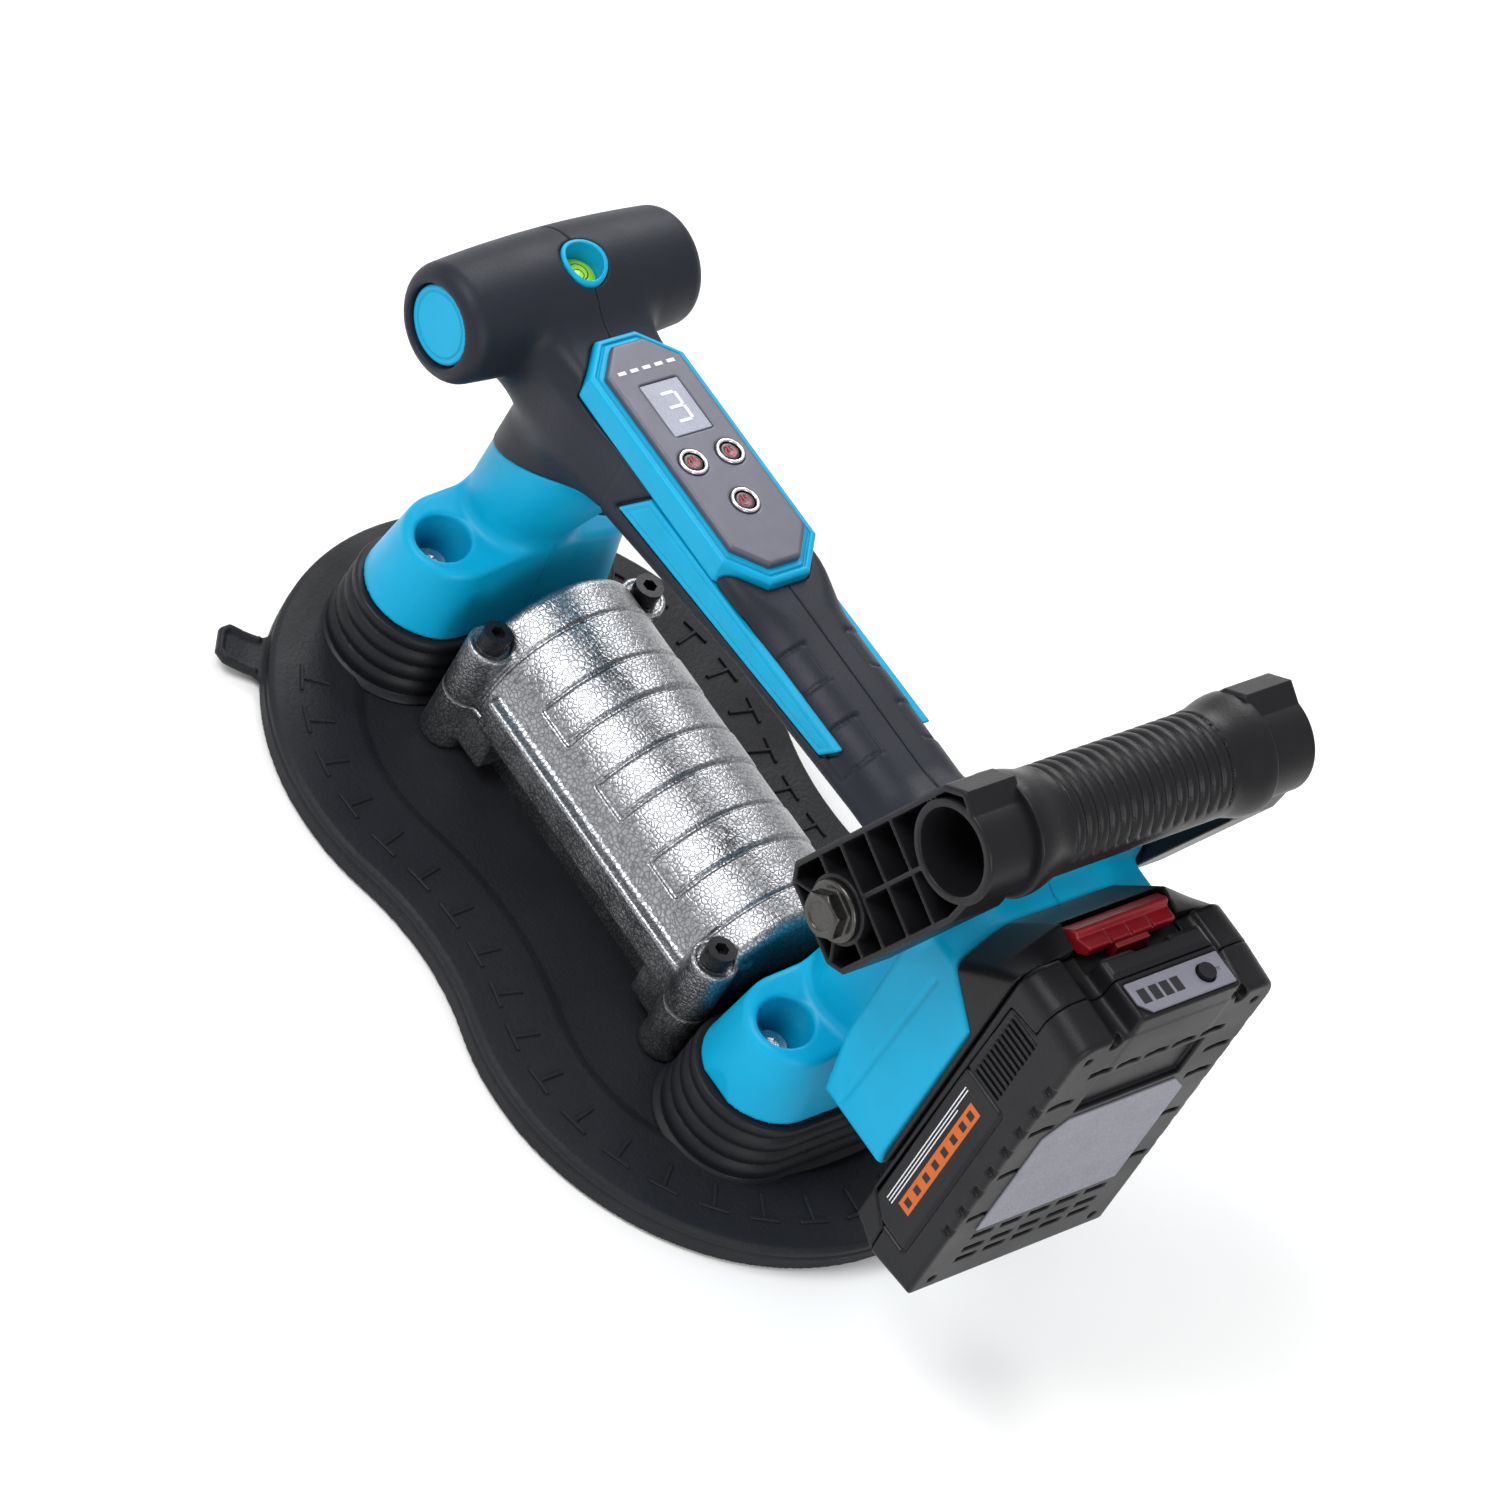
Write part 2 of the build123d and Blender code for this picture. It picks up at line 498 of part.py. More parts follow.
def grip_bar(inset):
    """The long grip with its rounded edges, moved inwards by inset."""
    top = GRIP_TOP - 2.0 - inset
    with BuildPart() as part:
        with BuildSketch(Plane.XZ):
            with BuildLine():
                Polyline((GRIP_X[0] + 2, top), (GRIP_X[1], top), (GRIP_X[1], UNDER[2][1] + inset))
                Polyline((GRIP_X[1], UNDER[2][1] + inset), (UNDER[1][0], UNDER[1][1] + inset))
                Polyline((UNDER[1][0], UNDER[1][1] + inset), (UNDER[0][0], UNDER[0][1] + inset))
                Polyline((UNDER[0][0], UNDER[0][1] + inset), (GRIP_X[0] + 2, UNDER[0][1] + inset))
                Line((GRIP_X[0] + 2, UNDER[0][1] + inset), (GRIP_X[0] + 2, top))
            make_face()
        extrude(amount=GRIP_Y - inset, both=True)
        long_edges = part.edges().filter_by(lambda e: e.length > 40 and abs(e.center().Y) > 5)
        fillet(long_edges.group_by(Axis.Z)[-1], 4.0 - inset * 0.4)
        fillet(part.edges().filter_by(lambda e: e.length > 40 and e.center().Z < 113), 8.0 - inset)
    return part.part


def foot(x):
    """A foot block that narrows upwards and flares into its column."""
    upper = (FOOT_SIZE[0] - 7.0, FOOT_SIZE[1] - 7.0)
    waist = (2 * COLUMN_R - 1.0, 62.0)
    throat = (2 * COLUMN_R - 3.0, 2 * COLUMN_R - 2.6)  # ends inside the column
    with BuildPart() as part:
        loft([stadium(x, FOOT_SIZE, FOOT_Z), stadium(x, upper, FOOT_TOP)])
        fillet(part.faces().sort_by(Axis.Z)[-1].edges(), 2.0)
    with BuildPart() as flare:
        loft([stadium(x, waist, FOOT_TOP - 4.0), stadium(x, throat, FOOT_TOP + 15.0)])
    with BuildPart() as both:
        add(part.part)
        add(flare.part)
        with Locations((x, -RECESS_Y, RECESS_FLOOR), (x, RECESS_Y, RECESS_FLOOR)):
            Cylinder(RECESS_R, 60, align=(Align.CENTER, Align.CENTER, Align.MIN), mode=Mode.SUBTRACT)
            Cylinder(SCREW_R + 0.5, 40, mode=Mode.SUBTRACT)
    return both.part


def column(x, radius, z):
    """A round upright from its (low, high) heights."""
    return rod((x, 0, z[0]), (0, 0, 1), radius, z[1] - z[0])


def seam_region(inset=0.0):
    """The space in which the skin is overmould: above the slanted seam, as far as the rear column."""
    low = GRIP_X[0] - 60
    seam_low = SEAM_Z + SEAM_SLOPE * (low - SEAM_X)
    meet = UNDER[0][0]
    seam_high = SEAM_Z + SEAM_SLOPE * (meet - SEAM_X)
    points = [
        (low, seam_low),
        (meet, seam_high),
        (meet, 80),
        (OVER_END - 5, 80),
        (OVER_END + 3, 160),
        (low, 160),
    ]
    return across(side_profile(points), 70 - inset)


# front upright: round over its foot, and widening forwards and backwards up to the neck
NECK_Z, NECK_REACH, NECK_X = (66.0, 104.0), 23.7, FOOT_X[0] + 6.0


def neck(inset):
    """The front upright from its foot to the grip, moved inwards by inset."""
    with BuildPart() as part:
        with BuildSketch(Plane.XY.offset(NECK_Z[0])):
            with Locations((FOOT_X[0] - 1, 0)):
                Circle(COLUMN_R - inset)
        with BuildSketch(Plane.XY.offset(NECK_Z[1])):
            with Locations((NECK_X, 0)):
                Ellipse(NECK_REACH - inset, COLUMN_R - inset)
        loft()
        with BuildSketch(Plane.XY.offset(NECK_Z[1])):
            with Locations((NECK_X, 0)):
                Ellipse(NECK_REACH - inset, COLUMN_R - inset)
        extrude(amount=118 - NECK_Z[1])
    return part.part


slab_points = [
    (SLAB_X[0], 64),
    (SLAB_X[1], 64),
    (SLAB_X[1], 126),
    (118, SHOULDER_Z[0]),
    (114.5, SLAB_TOP),
    (SLAB_X[0], SLAB_TOP),
    (SLAB_X[0] - 5, SLAB_TOP - 7),
    (SLAB_X[0] - 4, 84),
]


def slab(inset):
    """The upright block the battery slides on, moved inwards by inset."""
    with BuildPart() as part:
        with BuildSketch(Plane.XZ):
            with BuildLine():
                Polyline(*slab_points, close=True)
            make_face()
            if inset > 0:
                offset(amount=-inset, kind=Kind.INTERSECTION, mode=Mode.REPLACE)
        extrude(amount=SLAB_Y - inset, both=True)
        # sloping top corners
        for side in (-1, 1):
            with BuildSketch(Plane.YZ.offset(SLAB_X[0] - 20)) as corner:
                with BuildLine():
                    Polyline(
                        (side * (SHOULDER_Y - inset / 2), SLAB_TOP - inset / 2),
                        (side * (SLAB_Y - inset / 2), SHOULDER_Z[0] - inset / 2),
                        (side * 60, SHOULDER_Z[0] - inset / 2),
                        (side * 60, SLAB_TOP + 20),
                        (side * (SHOULDER_Y - inset / 2), SLAB_TOP + 20),
                        close=True,
                    )
                make_face()
            extrude(corner.sketch, amount=60, mode=Mode.SUBTRACT)
    return part.part


rear_web_points = [
    (80, 52),
    (SLAB_X[0], 66),
    (SLAB_X[0], SLAB_TOP),
    (95, 147),
    (78, 146),
    (70, 131),
    (68, 110),
    (66, 104),
]
rear_web = across(side_profile(rear_web_points), GRIP_Y - 2.0)
hub = rod((PIVOT_X, -HUB_Y, PIVOT_Z), (0, 1, 0), HUB_R, 2 * HUB_Y)

with BuildPart() as outer:
    add(foot(FOOT_X[0]))
    add(column(FOOT_X[0] - 1, COLUMN_R, (FOOT_TOP, NECK_Z[0])))
    add(neck(0))
    add(grip_bar(0))
    add(t_bar(0))
    add(foot(FOOT_X[1]))
    add(column(FOOT_X[1], COLUMN_R, (FOOT_TOP, 126)))
    add(rear_web)
    add(hub)
    add(slab(0))

with BuildPart() as core:
    add(neck(SKIN))
    add(grip_bar(SKIN))
    add(t_bar(SKIN))
with BuildPart() as hollow:
    add(neck(SKIN + WALL))
    add(grip_bar(SKIN + WALL))
    add(t_bar(SKIN + WALL))
    add(column(FOOT_X[1], PUMP_R + 0.5, (PUMP_Z[0] - 12, 116)))
    add(box_part((60, 110), (-8, 8), (114, 124)))
    add(slab(3.0))

# room taken out of the handle by the parts set into it
with BuildPart() as fittings:
    extrude(octagon(PANEL_X, PANEL_Y, 10.8, 10.3, PANEL_LOW), amount=40)
    with Locations((LEVEL_X, 0, LEVEL_FLOOR)):
        Cylinder(LEVEL_R, 40, align=(Align.CENTER, Align.CENTER, Align.MIN))
    for side in (-1, 1):
        add(rod((BAR_X, side * (BAR_HALF - CAP_DEEP), BAR_Z), (0, side, 0), CAP_R + 0.4, 20))
    for side in (-1, 1):
        add(rod((PIVOT_X, side * 15, PIVOT_Z), (0, side, 0), BOLT_R, 60))


def inlay(side, thickness):
    """The long blue strip on one side of the grip."""
    with BuildPart() as part:
        with BuildSketch(Plane.XZ.offset(-side * (GRIP_Y - 1.2))):
            with BuildLine():
                Polyline((-56.7, 111.8), (-49.0, 124.2), (43.0, 126.2), (38.4, 119.0), close=True)
            make_face()
            fillet(vertices(), 1.2)
        extrude(amount=-side * thickness)
    return part.part


with BuildPart() as overmould:
    add(outer.part)
    add(seam_region(), mode=Mode.INTERSECT)
    add(core.part, mode=Mode.SUBTRACT)
    add(fittings.part, mode=Mode.SUBTRACT)
    for side in (-1, 1):
        add(inlay(side, 5.0), mode=Mode.SUBTRACT)
    # shallow patches pressed into the shoulders behind the panel
    for low, high in ((11, 24), (36, 49)):
        for side in (-1, 1):
            patch = box_part((low, high), sorted((side * 8.0, side * 20.0)), (GRIP_TOP - 2.5, GRIP_TOP))
            add(patch, mode=Mode.SUBTRACT)

with BuildPart() as shell:
    add(outer.part)
    add(seam_region(), mode=Mode.SUBTRACT)
    add(core.part)
    add(hollow.part, mode=Mode.SUBTRACT)
    add(fittings.part, mode=Mode.SUBTRACT)
    # passage for the suction hose through the rear foot
    add(rod((FOOT_X[1], 0, 30), (0, 0, 1), HOSE_R + 0.8, 30), mode=Mode.SUBTRACT)
    # bosses for the case screws
    for x, z in CASE_BOSSES:
        add(rod((x, -SLAB_Y + 2, z), (0, 1, 0), 4.5, 2 * SLAB_Y - 4))
    for x, z, half in CASE_SCREWS:
        add(rod((x, -12, z), (0, 1, 0), CASE_SCREW_R, 60), mode=Mode.SUBTRACT)
        add(rod((x, half - 4.0, z), (0, 1, 0), 3.8, 30), mode=Mode.SUBTRACT)
halves(shell.part, "handle_shell")
halves(overmould.part, "overmould")


# ---------------------------------------------------------------- fittings on the handle
for name, side in (("bar_end_cap_left", -1), ("bar_end_cap_right", 1)):
    with BuildPart() as cap:
        add(rod((BAR_X, side * (BAR_HALF - CAP_DEEP), BAR_Z), (0, side, 0), CAP_R, CAP_DEEP - 1.6))
        fillet(cap.faces().sort_by(Axis.Y)[0 if side < 0 else -1].edges(), 0.8)
    save(cap.part, name)

for name, side in (("side_inlay_left", -1), ("side_inlay_right", 1)):
    save(inlay(side, 1.7), name)

with BuildPart(Plane(origin=(LEVEL_X, 0, LEVEL_FLOOR))) as level_bezel:
    Cylinder(LEVEL_R, LEVEL_TOP - LEVEL_FLOOR, align=(Align.CENTER, Align.CENTER, Align.MIN))
    fillet(level_bezel.faces().sort_by(Axis.Z)[-1].edges(), 0.6)
    with Locations((0, 0, 2)):
        Cylinder(LEVEL_R - 1.2, 30, align=(Align.CENTER, Align.CENTER, Align.MIN), mode=Mode.SUBTRACT)
save(level_bezel.part, "level_bezel")
with BuildPart(Plane(origin=(LEVEL_X, 0, LEVEL_FLOOR + 2))) as level_vial:
    Cylinder(LEVEL_R - 1.2, LEVEL_TOP - LEVEL_FLOOR - 5.0, align=(Align.CENTER, Align.CENTER, Align.MIN))
    fillet(level_vial.faces().sort_by(Axis.Z)[-1].edges(), 1.2)
save(level_vial.part, "level_vial")

# control panel: blue frame, printed overlay, display, buttons and the board under them
button_spots = list(BUTTONS.values())
with BuildPart() as panel_frame:
    extrude(octagon(PANEL_X, PANEL_Y, 10.8, 10.3, PANEL_LOW), amount=GRIP_TOP - PANEL_LOW)
    chamfer(panel_frame.faces().sort_by(Axis.Z)[-1].edges(), 0.8)
    add(box_part(BOARD_ROOM, (3 - PANEL_Y, PANEL_Y - 3), (PANEL_LOW - 1, GRIP_TOP - 3)), mode=Mode.SUBTRACT)
    with Locations((WINDOW[0], WINDOW[1], GRIP_TOP)):
        Box(WINDOW[2] + 0.2, WINDOW[3] + 0.2, 20, mode=Mode.SUBTRACT)
    with Locations(*[(x, y, GRIP_TOP) for x, y in button_spots]):
        Cylinder(BUTTON_R + 0.3, 20, mode=Mode.SUBTRACT)
save(panel_frame.part, "panel_frame")

with BuildPart() as panel_overlay:
    extrude(octagon(OVERLAY_X, OVERLAY_Y, 8.0, 7.5, GRIP_TOP), amount=OVERLAY_TOP - GRIP_TOP)
    chamfer(panel_overlay.faces().sort_by(Axis.Z)[-1].edges(), 0.5)
    with Locations((WINDOW[0], WINDOW[1], GRIP_TOP)):
        Box(WINDOW[2] + 0.2, WINDOW[3] + 0.2, 20, mode=Mode.SUBTRACT)
    with Locations(*[(x, y, GRIP_TOP) for x, y in button_spots]):
        Cylinder(RING_R, 20, mode=Mode.SUBTRACT)
save(panel_overlay.part, "panel_overlay")

with BuildPart() as display_module:
    with Locations((WINDOW[0], WINDOW[1], (BOARD_TOP + OVERLAY_TOP - 0.3) / 2)):
        Box(WINDOW[2], WINDOW[3], OVERLAY_TOP - 0.3 - BOARD_TOP)
save(display_module.part, "display_module")

with BuildPart() as button_rings:
    with Locations(*[(x, y, GRIP_TOP) for x, y in button_spots]):
        Cylinder(RING_R, OVERLAY_TOP + 0.8 - GRIP_TOP, align=(Align.CENTER, Align.CENTER, Align.MIN))
    chamfer(button_rings.faces().group_by(Axis.Z)[-1].edges(), 0.5)
    with Locations(*[(x, y, GRIP_TOP) for x, y in button_spots]):
        Cylinder(BUTTON_R + 0.3, 20, mode=Mode.SUBTRACT)
save(button_rings.part, "button_rings")

for name, (x, y) in BUTTONS.items():
    with BuildPart(Plane(origin=(x, y, GRIP_TOP - 1.5))) as button:
        Cylinder(BUTTON_R, OVERLAY_TOP + 0.3 - GRIP_TOP + 1.5, align=(Align.CENTER, Align.CENTER, Align.MIN))
        fillet(button.faces().sort_by(Axis.Z)[-1].edges(), 0.8)
    save(button.part, name)

with BuildPart() as control_board:
    add(box_part((BOARD_ROOM[0] + 1, BOARD_ROOM[1] - 1), (-10.5, 10.5), (BOARD_TOP - 1.6, BOARD_TOP)))
save(control_board.part, "control_board")

with BuildPart() as tact_switches:
    with Locations(*[(x, y, BOARD_TOP) for x, y in button_spots]):
        Box(6.0, 6.0, 2.6, align=(Align.CENTER, Align.CENTER, Align.MIN))
        Cylinder(1.6, GRIP_TOP - 2.8 - BOARD_TOP, align=(Align.CENTER, Align.CENTER, Align.MIN))
save(tact_switches.part, "tact_switches")

# drive board in the upright block, the wires to the panel, and the vacuum pump in the rear column
save(box_part((SLAB_X[0] + 4, SLAB_X[0] + 5.6), (-28, 28), (78, 132)), "drive_board")
with BuildPart() as power_leads:
    for y in (-3.0, 3.0):
        add(rod((PANEL_X[1] - 6, y, 119.0), (1, 0, 0), 1.0, SLAB_X[0] + 4 - PANEL_X[1] + 6))
        add(rod((PANEL_X[1] - 6, y, 118.2), (0, 0, 1), 1.0, BOARD_TOP - 1.6 - 118.2))
save(power_leads.part, "power_leads")

save(column(FOOT_X[1], PUMP_R, PUMP_Z), "pump_motor")
with BuildPart() as pump_head:
    add(column(FOOT_X[1], PUMP_R + 0.5, (PUMP_Z[0] - 10, PUMP_Z[0])))
    add(column(FOOT_X[1], HOSE_BORE, (PUMP_Z[0] - 18, PUMP_Z[0] - 10)))
    add(column(FOOT_X[1], PORT_BORE, (PUMP_Z[0] - 19, PUMP_Z[0] - 6)), mode=Mode.SUBTRACT)
save(pump_head.part, "pump_head")
with BuildPart() as suction_hose:
    add(column(FOOT_X[1], HOSE_R, (HOSE_LOW, PUMP_Z[0] - 10.4)))
    add(column(FOOT_X[1], HOSE_BORE, (0, 100)), mode=Mode.SUBTRACT)
save(suction_hose.part, "suction_hose")

with BuildPart() as case_screws:
    for x, z, half in CASE_SCREWS:
        add(rod((x, -11.5, z), (0, 1, 0), CASE_SCREW_R, half + 7.5))
        add(rod((x, half - 4.0, z), (0, 1, 0), 3.5, 2.2))
    for x, z, half in CASE_SCREWS:
        for turn in (0, 90):
            with Locations(Location((x, half - 1.8, z), (0, turn, 0))):
                Box(4.0, 2.4, 0.9, mode=Mode.SUBTRACT)
save(case_screws.part, "case_screws")

# battery dock: black shoulder over the block, and the rails and blades the battery slides on
dock_foot = [(SLAB_X[1], 126), (SLAB_X[1], 68), (DOCK_X, 68)]
dock_crest = [(DOCK_X, SHOULDER_Z[1] - 2), (127, SHOULDER_Z[1]), (114.5, SLAB_TOP), (118, SHOULDER_Z[0])]
dock_side = [(DOCK_X, 153), (131, 149.6), (119.5, SHOULDER_Z[0] + 1.3), (118, SHOULDER_Z[0])]
with BuildPart() as battery_dock:
    add(across(side_profile(dock_foot + dock_crest), SHOULDER_Y))
    for side in (-1, 1):
        inner_end = side_profile(dock_foot + dock_crest, side * SHOULDER_Y)
        outer_end = side_profile(dock_foot + dock_side, side * SLAB_Y)
        loft([inner_end, outer_end], ruled=True)
    add(box_part((125.5, 140), (-SHOULDER_Y, SHOULDER_Y), (149.5, 170)), mode=Mode.SUBTRACT)
    add(box_part((131.5, 140), (-6.5, 6.5), (144, 170)), mode=Mode.SUBTRACT)
    add(box_part((DOCK_X, 142), (-RAIL_Y, RAIL_Y), RAIL_Z))
    add(box_part((138.5, 142), (-RAIL_Y - 3.5, RAIL_Y + 3.5), RAIL_Z))
save(battery_dock.part, "battery_dock")
with BuildPart() as dock_terminals:
    for y in BLADE_Y:
        add(box_part((138.4, 139.4), (y - 3, y + 3), (RAIL_Z[1], RAIL_Z[1] + 8)))
save(dock_terminals.part, "dock_terminals")

# ---------------------------------------------------------------- auxiliary handle
lean = (TUBE_X - PIVOT_X, TUBE_Z - PIVOT_Z)
reach = hypot(*lean)
lean_angle = degrees(atan2(lean[0], lean[1]))


def on_arm(u, v):
    """World (x, z) of a point on the arm: v along it from the pivot, u to its rear side."""
    along = (lean[0] / reach, lean[1] / reach)
    return (PIVOT_X + along[1] * u + along[0] * v, PIVOT_Z - along[0] * u + along[1] * v)


ARM_OUTLINE = [
    (-16.5, -9.0),
    (-12.0, -13.6),
    (11.5, -13.2),
    (15.9, -8.8),
    (16.2, 41.0),
    (13.0, 53.5),
    (8.0, 59.8),
    (-3.0, 65.4),
    (-12.5, 67.4),
    (-16.5, 60.5),
]
# windows of the web, as (u, v) spans
CELLS = [
    ((-14.3, -1.2), (10.6, 22.6)),
    ((1.2, 14.0), (9.6, 22.6)),
    ((-14.3, -1.2), (25.0, 36.0)),
    ((1.2, 14.0), (25.0, 36.6)),
]


def arm(side):
    """One arm of the auxiliary handle: a thick plate hollowed into webbed cells from its outside."""
    with BuildPart() as part:
        with BuildSketch(Plane.XZ.offset(-side * ARM_IN)):
            with BuildLine():
                Polyline(*[on_arm(u, v) for u, v in ARM_OUTLINE], close=True)
            make_face()
            fillet(vertices(), 2.5)
        extrude(amount=-side * (ARM_OUT - ARM_IN))
        with BuildSketch(Plane.XZ.offset(-side * ARM_OUT)) as cells:
            for (u0, u1), (v0, v1) in CELLS:
                with BuildLine():
                    corners = [(u0, v0), (u1, v0), (u1, v1), (u0, v1)]
                    Polyline(*[on_arm(u, v) for u, v in corners], close=True)
                make_face()
            with Locations(on_arm(0, 0)):
                Circle(11.0)
        extrude(cells.sketch, amount=side * CELL_DEEP, mode=Mode.SUBTRACT)
        add(rod((PIVOT_X, side * ARM_IN, PIVOT_Z), (0, side, 0), 8.0, ARM_OUT - ARM_IN))
        add(rod((TUBE_X, side * ARM_IN, TUBE_Z), (0, side, 0), TUBE_R + 2.0, ARM_OUT - ARM_IN))
    return part.part


with BuildPart() as aux_handle:
    for side in (-1, 1):
        add(arm(side))
    with BuildSketch(Plane(origin=(TUBE_X, 0, TUBE_Z), x_dir=(0, 1, 0), z_dir=(1, 0, 0))):
        with BuildLine():
            Polyline((-ARM_IN - 1, 0), (-ARM_IN - 1, TUBE_R + 3.0), (-ARM_IN, TUBE_R + 3.0))
            Spline((-ARM_IN, TUBE_R + 3.0), (-36, TUBE_R + 0.8), (-28, TUBE_R), tangents=((1, -0.6), (1, 0)))
            Line((-28, TUBE_R), (28, TUBE_R))
            Spline((28, TUBE_R), (36, TUBE_R + 0.8), (ARM_IN, TUBE_R + 3.0), tangents=((1, 0), (1, 0.6)))
            Polyline((ARM_IN, TUBE_R + 3.0), (ARM_IN + 1, TUBE_R + 3.0), (ARM_IN + 1, 0), (-ARM_IN - 1, 0))
        make_face()
    revolve(axis=Axis((TUBE_X, 0, TUBE_Z), (0, 1, 0)))
    for i in range(TUBE_RINGS):
        y = TUBE_RING_PITCH * (i - (TUBE_RINGS - 1) / 2)
        add(rod((TUBE_X, y - 1.2, TUBE_Z), (0, 1, 0), TUBE_R + 1.0, 2.4))
    add(rod((TUBE_X, -80, TUBE_Z), (0, 1, 0), TUBE_BORE, 160), mode=Mode.SUBTRACT)
    add(rod((PIVOT_X, -80, PIVOT_Z), (0, 1, 0), BOLT_R + PIVOT_PLAY, 160), mode=Mode.SUBTRACT)
save(aux_handle.part, "aux_handle")

# flanged bolts that clamp the arms to the hub
with BuildPart() as pivot_bolts:
    for side in (-1, 1):
        add(rod((PIVOT_X, side * 16, PIVOT_Z), (0, side, 0), BOLT_R, ARM_OUT - 16 + 1))
        add(rod((PIVOT_X, side * (ARM_OUT + 0.3), PIVOT_Z), (0, side, 0), 8.8, 1.6))
        with BuildSketch(Plane.XZ.offset(-side * (ARM_OUT + 1.9))) as hexagon:
            with Locations((PIVOT_X, PIVOT_Z)):
                RegularPolygon(7.4, 6)
        extrude(hexagon.sketch, amount=-side * 4.6)
        add(rod((PIVOT_X, side * (ARM_OUT + 6.5), PIVOT_Z), (0, -side, 0), 5.0, 0.4), mode=Mode.SUBTRACT)
save(pivot_bolts.part, "pivot_bolts")

# ---------------------------------------------------------------- battery
upper_x = (PACK_X[0], PACK_SEAM)
lower_x = (PACK_SEAM, PACK_X[1])


def pack_block(x, chamfer_size):
    """A block over part of the battery's depth, with its long corners cut off and its raised brow."""
    with BuildPart() as part:
        add(box_part(x, (-PACK_Y, PACK_Y), PACK_Z))
        long_edges = part.edges().filter_by(Axis.X).group_by(Axis.Z)
        chamfer(long_edges[0], chamfer_size)
        chamfer(long_edges[-1], 2 * chamfer_size)
        add(box_part((max(x[0], BROW_X), x[1]), (-BROW_Y, BROW_Y), (PACK_Z[1] - 1, BROW_TOP)))
    return part.part


cells_x = (PACK_X[0] + 8.4, PACK_X[1] - 1.2)
cells_room = box_part(cells_x, (-PACK_Y + 2.2, PACK_Y - 2.2), (PACK_Z[0] + 3, PACK_Z[1] - 11))
with BuildPart() as battery_upper_case:
    add(pack_block(upper_x, 3.0))
    add(cells_room, mode=Mode.SUBTRACT)
    # T slot that takes the dock's rails, open at the lower end
    slot_z = (PACK_Z[0] - 1, RAIL_Z[1] + 0.4)
    add(box_part((PACK_X[0] - 1, 142.4), (-RAIL_Y - 0.4, RAIL_Y + 0.4), slot_z), mode=Mode.SUBTRACT)
    add(box_part((138.1, 142.4), (-RAIL_Y - 3.9, RAIL_Y + 3.9), slot_z), mode=Mode.SUBTRACT)
    # slots for the blades, and the pocket the release button's stem moves in
    for y in BLADE_Y:
        add(box_part((136.0, 141.8), (y - 3.5, y + 3.5), (RAIL_Z[1], RAIL_Z[1] + 9)), mode=Mode.SUBTRACT)
    add(box_part((PACK_X[0] - 1, 143.0), (-6.5, 6.5), (145.5, 160)), mode=Mode.SUBTRACT)
    # step in the front edge, for the button's travel
    add(box_part((PACK_X[0] - 1, 139.0), (-18.6, 18.6), (154.0, 160)), mode=Mode.SUBTRACT)
save(battery_upper_case.part, "battery_upper_case")
with BuildPart() as battery_lower_case:
    add(pack_block(lower_x, 3.0))
    add(cells_room, mode=Mode.SUBTRACT)
    add(rod((GAUGE_X[0] + 5, GAUGE_BUTTON_Y, BROW_TOP - 6), (0, 0, 1), 2.9, 20), mode=Mode.SUBTRACT)
save(battery_lower_case.part, "battery_lower_case")

with BuildPart() as battery_cells:
    for i in range(CELL_COUNT):
        z = (PACK_Z[0] + PACK_Z[1] - 8) / 2 + CELL_PITCH * (i - (CELL_COUNT - 1) / 2)
        add(rod((PACK_X[1] - 1.2 - CELL_R - 0.1, -CELL_L / 2, z), (0, 1, 0), CELL_R, CELL_L))
save(battery_cells.part, "battery_cells")
with BuildPart() as cell_straps:
    for side in (-1, 1):
        add(box_part((150, 157), sorted((side * CELL_L / 2, side * (CELL_L / 2 + 0.4))), (48, 142)))
save(cell_straps.part, "cell_straps")
with BuildPart() as battery_contacts:
    for y in BLADE_Y:
        for x in ((136.2, 138.0), (139.8, 141.6)):
            add(box_part(x, (y - 3, y + 3), (RAIL_Z[1] + 1, RAIL_Z[1] + 9)))
save(battery_contacts.part, "battery_contacts")
save(box_part((PACK_X[1], PACK_X[1] + 0.4), (-22.0, 22.0), (70.0, 119.0)), "rating_plate")
with BuildPart() as gauge_plate:
    add(box_part((GAUGE_X[0], GAUGE_X[1]), (-GAUGE_Y, GAUGE_Y), (BROW_TOP, BROW_TOP + 0.6)))
    add(rod((GAUGE_X[0] + 5, GAUGE_BUTTON_Y, BROW_TOP - 6), (0, 0, 1), 2.9, 20), mode=Mode.SUBTRACT)
save(gauge_plate.part, "gauge_plate")
save(rod((GAUGE_X[0] + 5, GAUGE_BUTTON_Y, BROW_TOP - 4), (0, 0, 1), 2.6, 5.8), "gauge_button")

with BuildPart() as release_button:
    add(box_part((127.0, 134.4), (-18.2, 18.2), (154.4, 160.2)))
    add(box_part((134.0, 137.0), (-15.6, 15.6), (PACK_Z[1] + 0.4, 160.2)))
    chamfer(release_button.edges().filter_by(Axis.Y).group_by(Axis.Z)[-1].sort_by(Axis.X)[0], 1.5)
    add(box_part((136.0, 138.6), (-6.0, 6.0), (146.0, 158.0)))
    add(box_part((132.5, 137.0), (-6.0, 6.0), (146.0, 149.0)))
save(release_button.part, "release_button")
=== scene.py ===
import itertools
import json
import math

import bmesh
import bpy
import numpy as np
from mathutils import Matrix, Vector


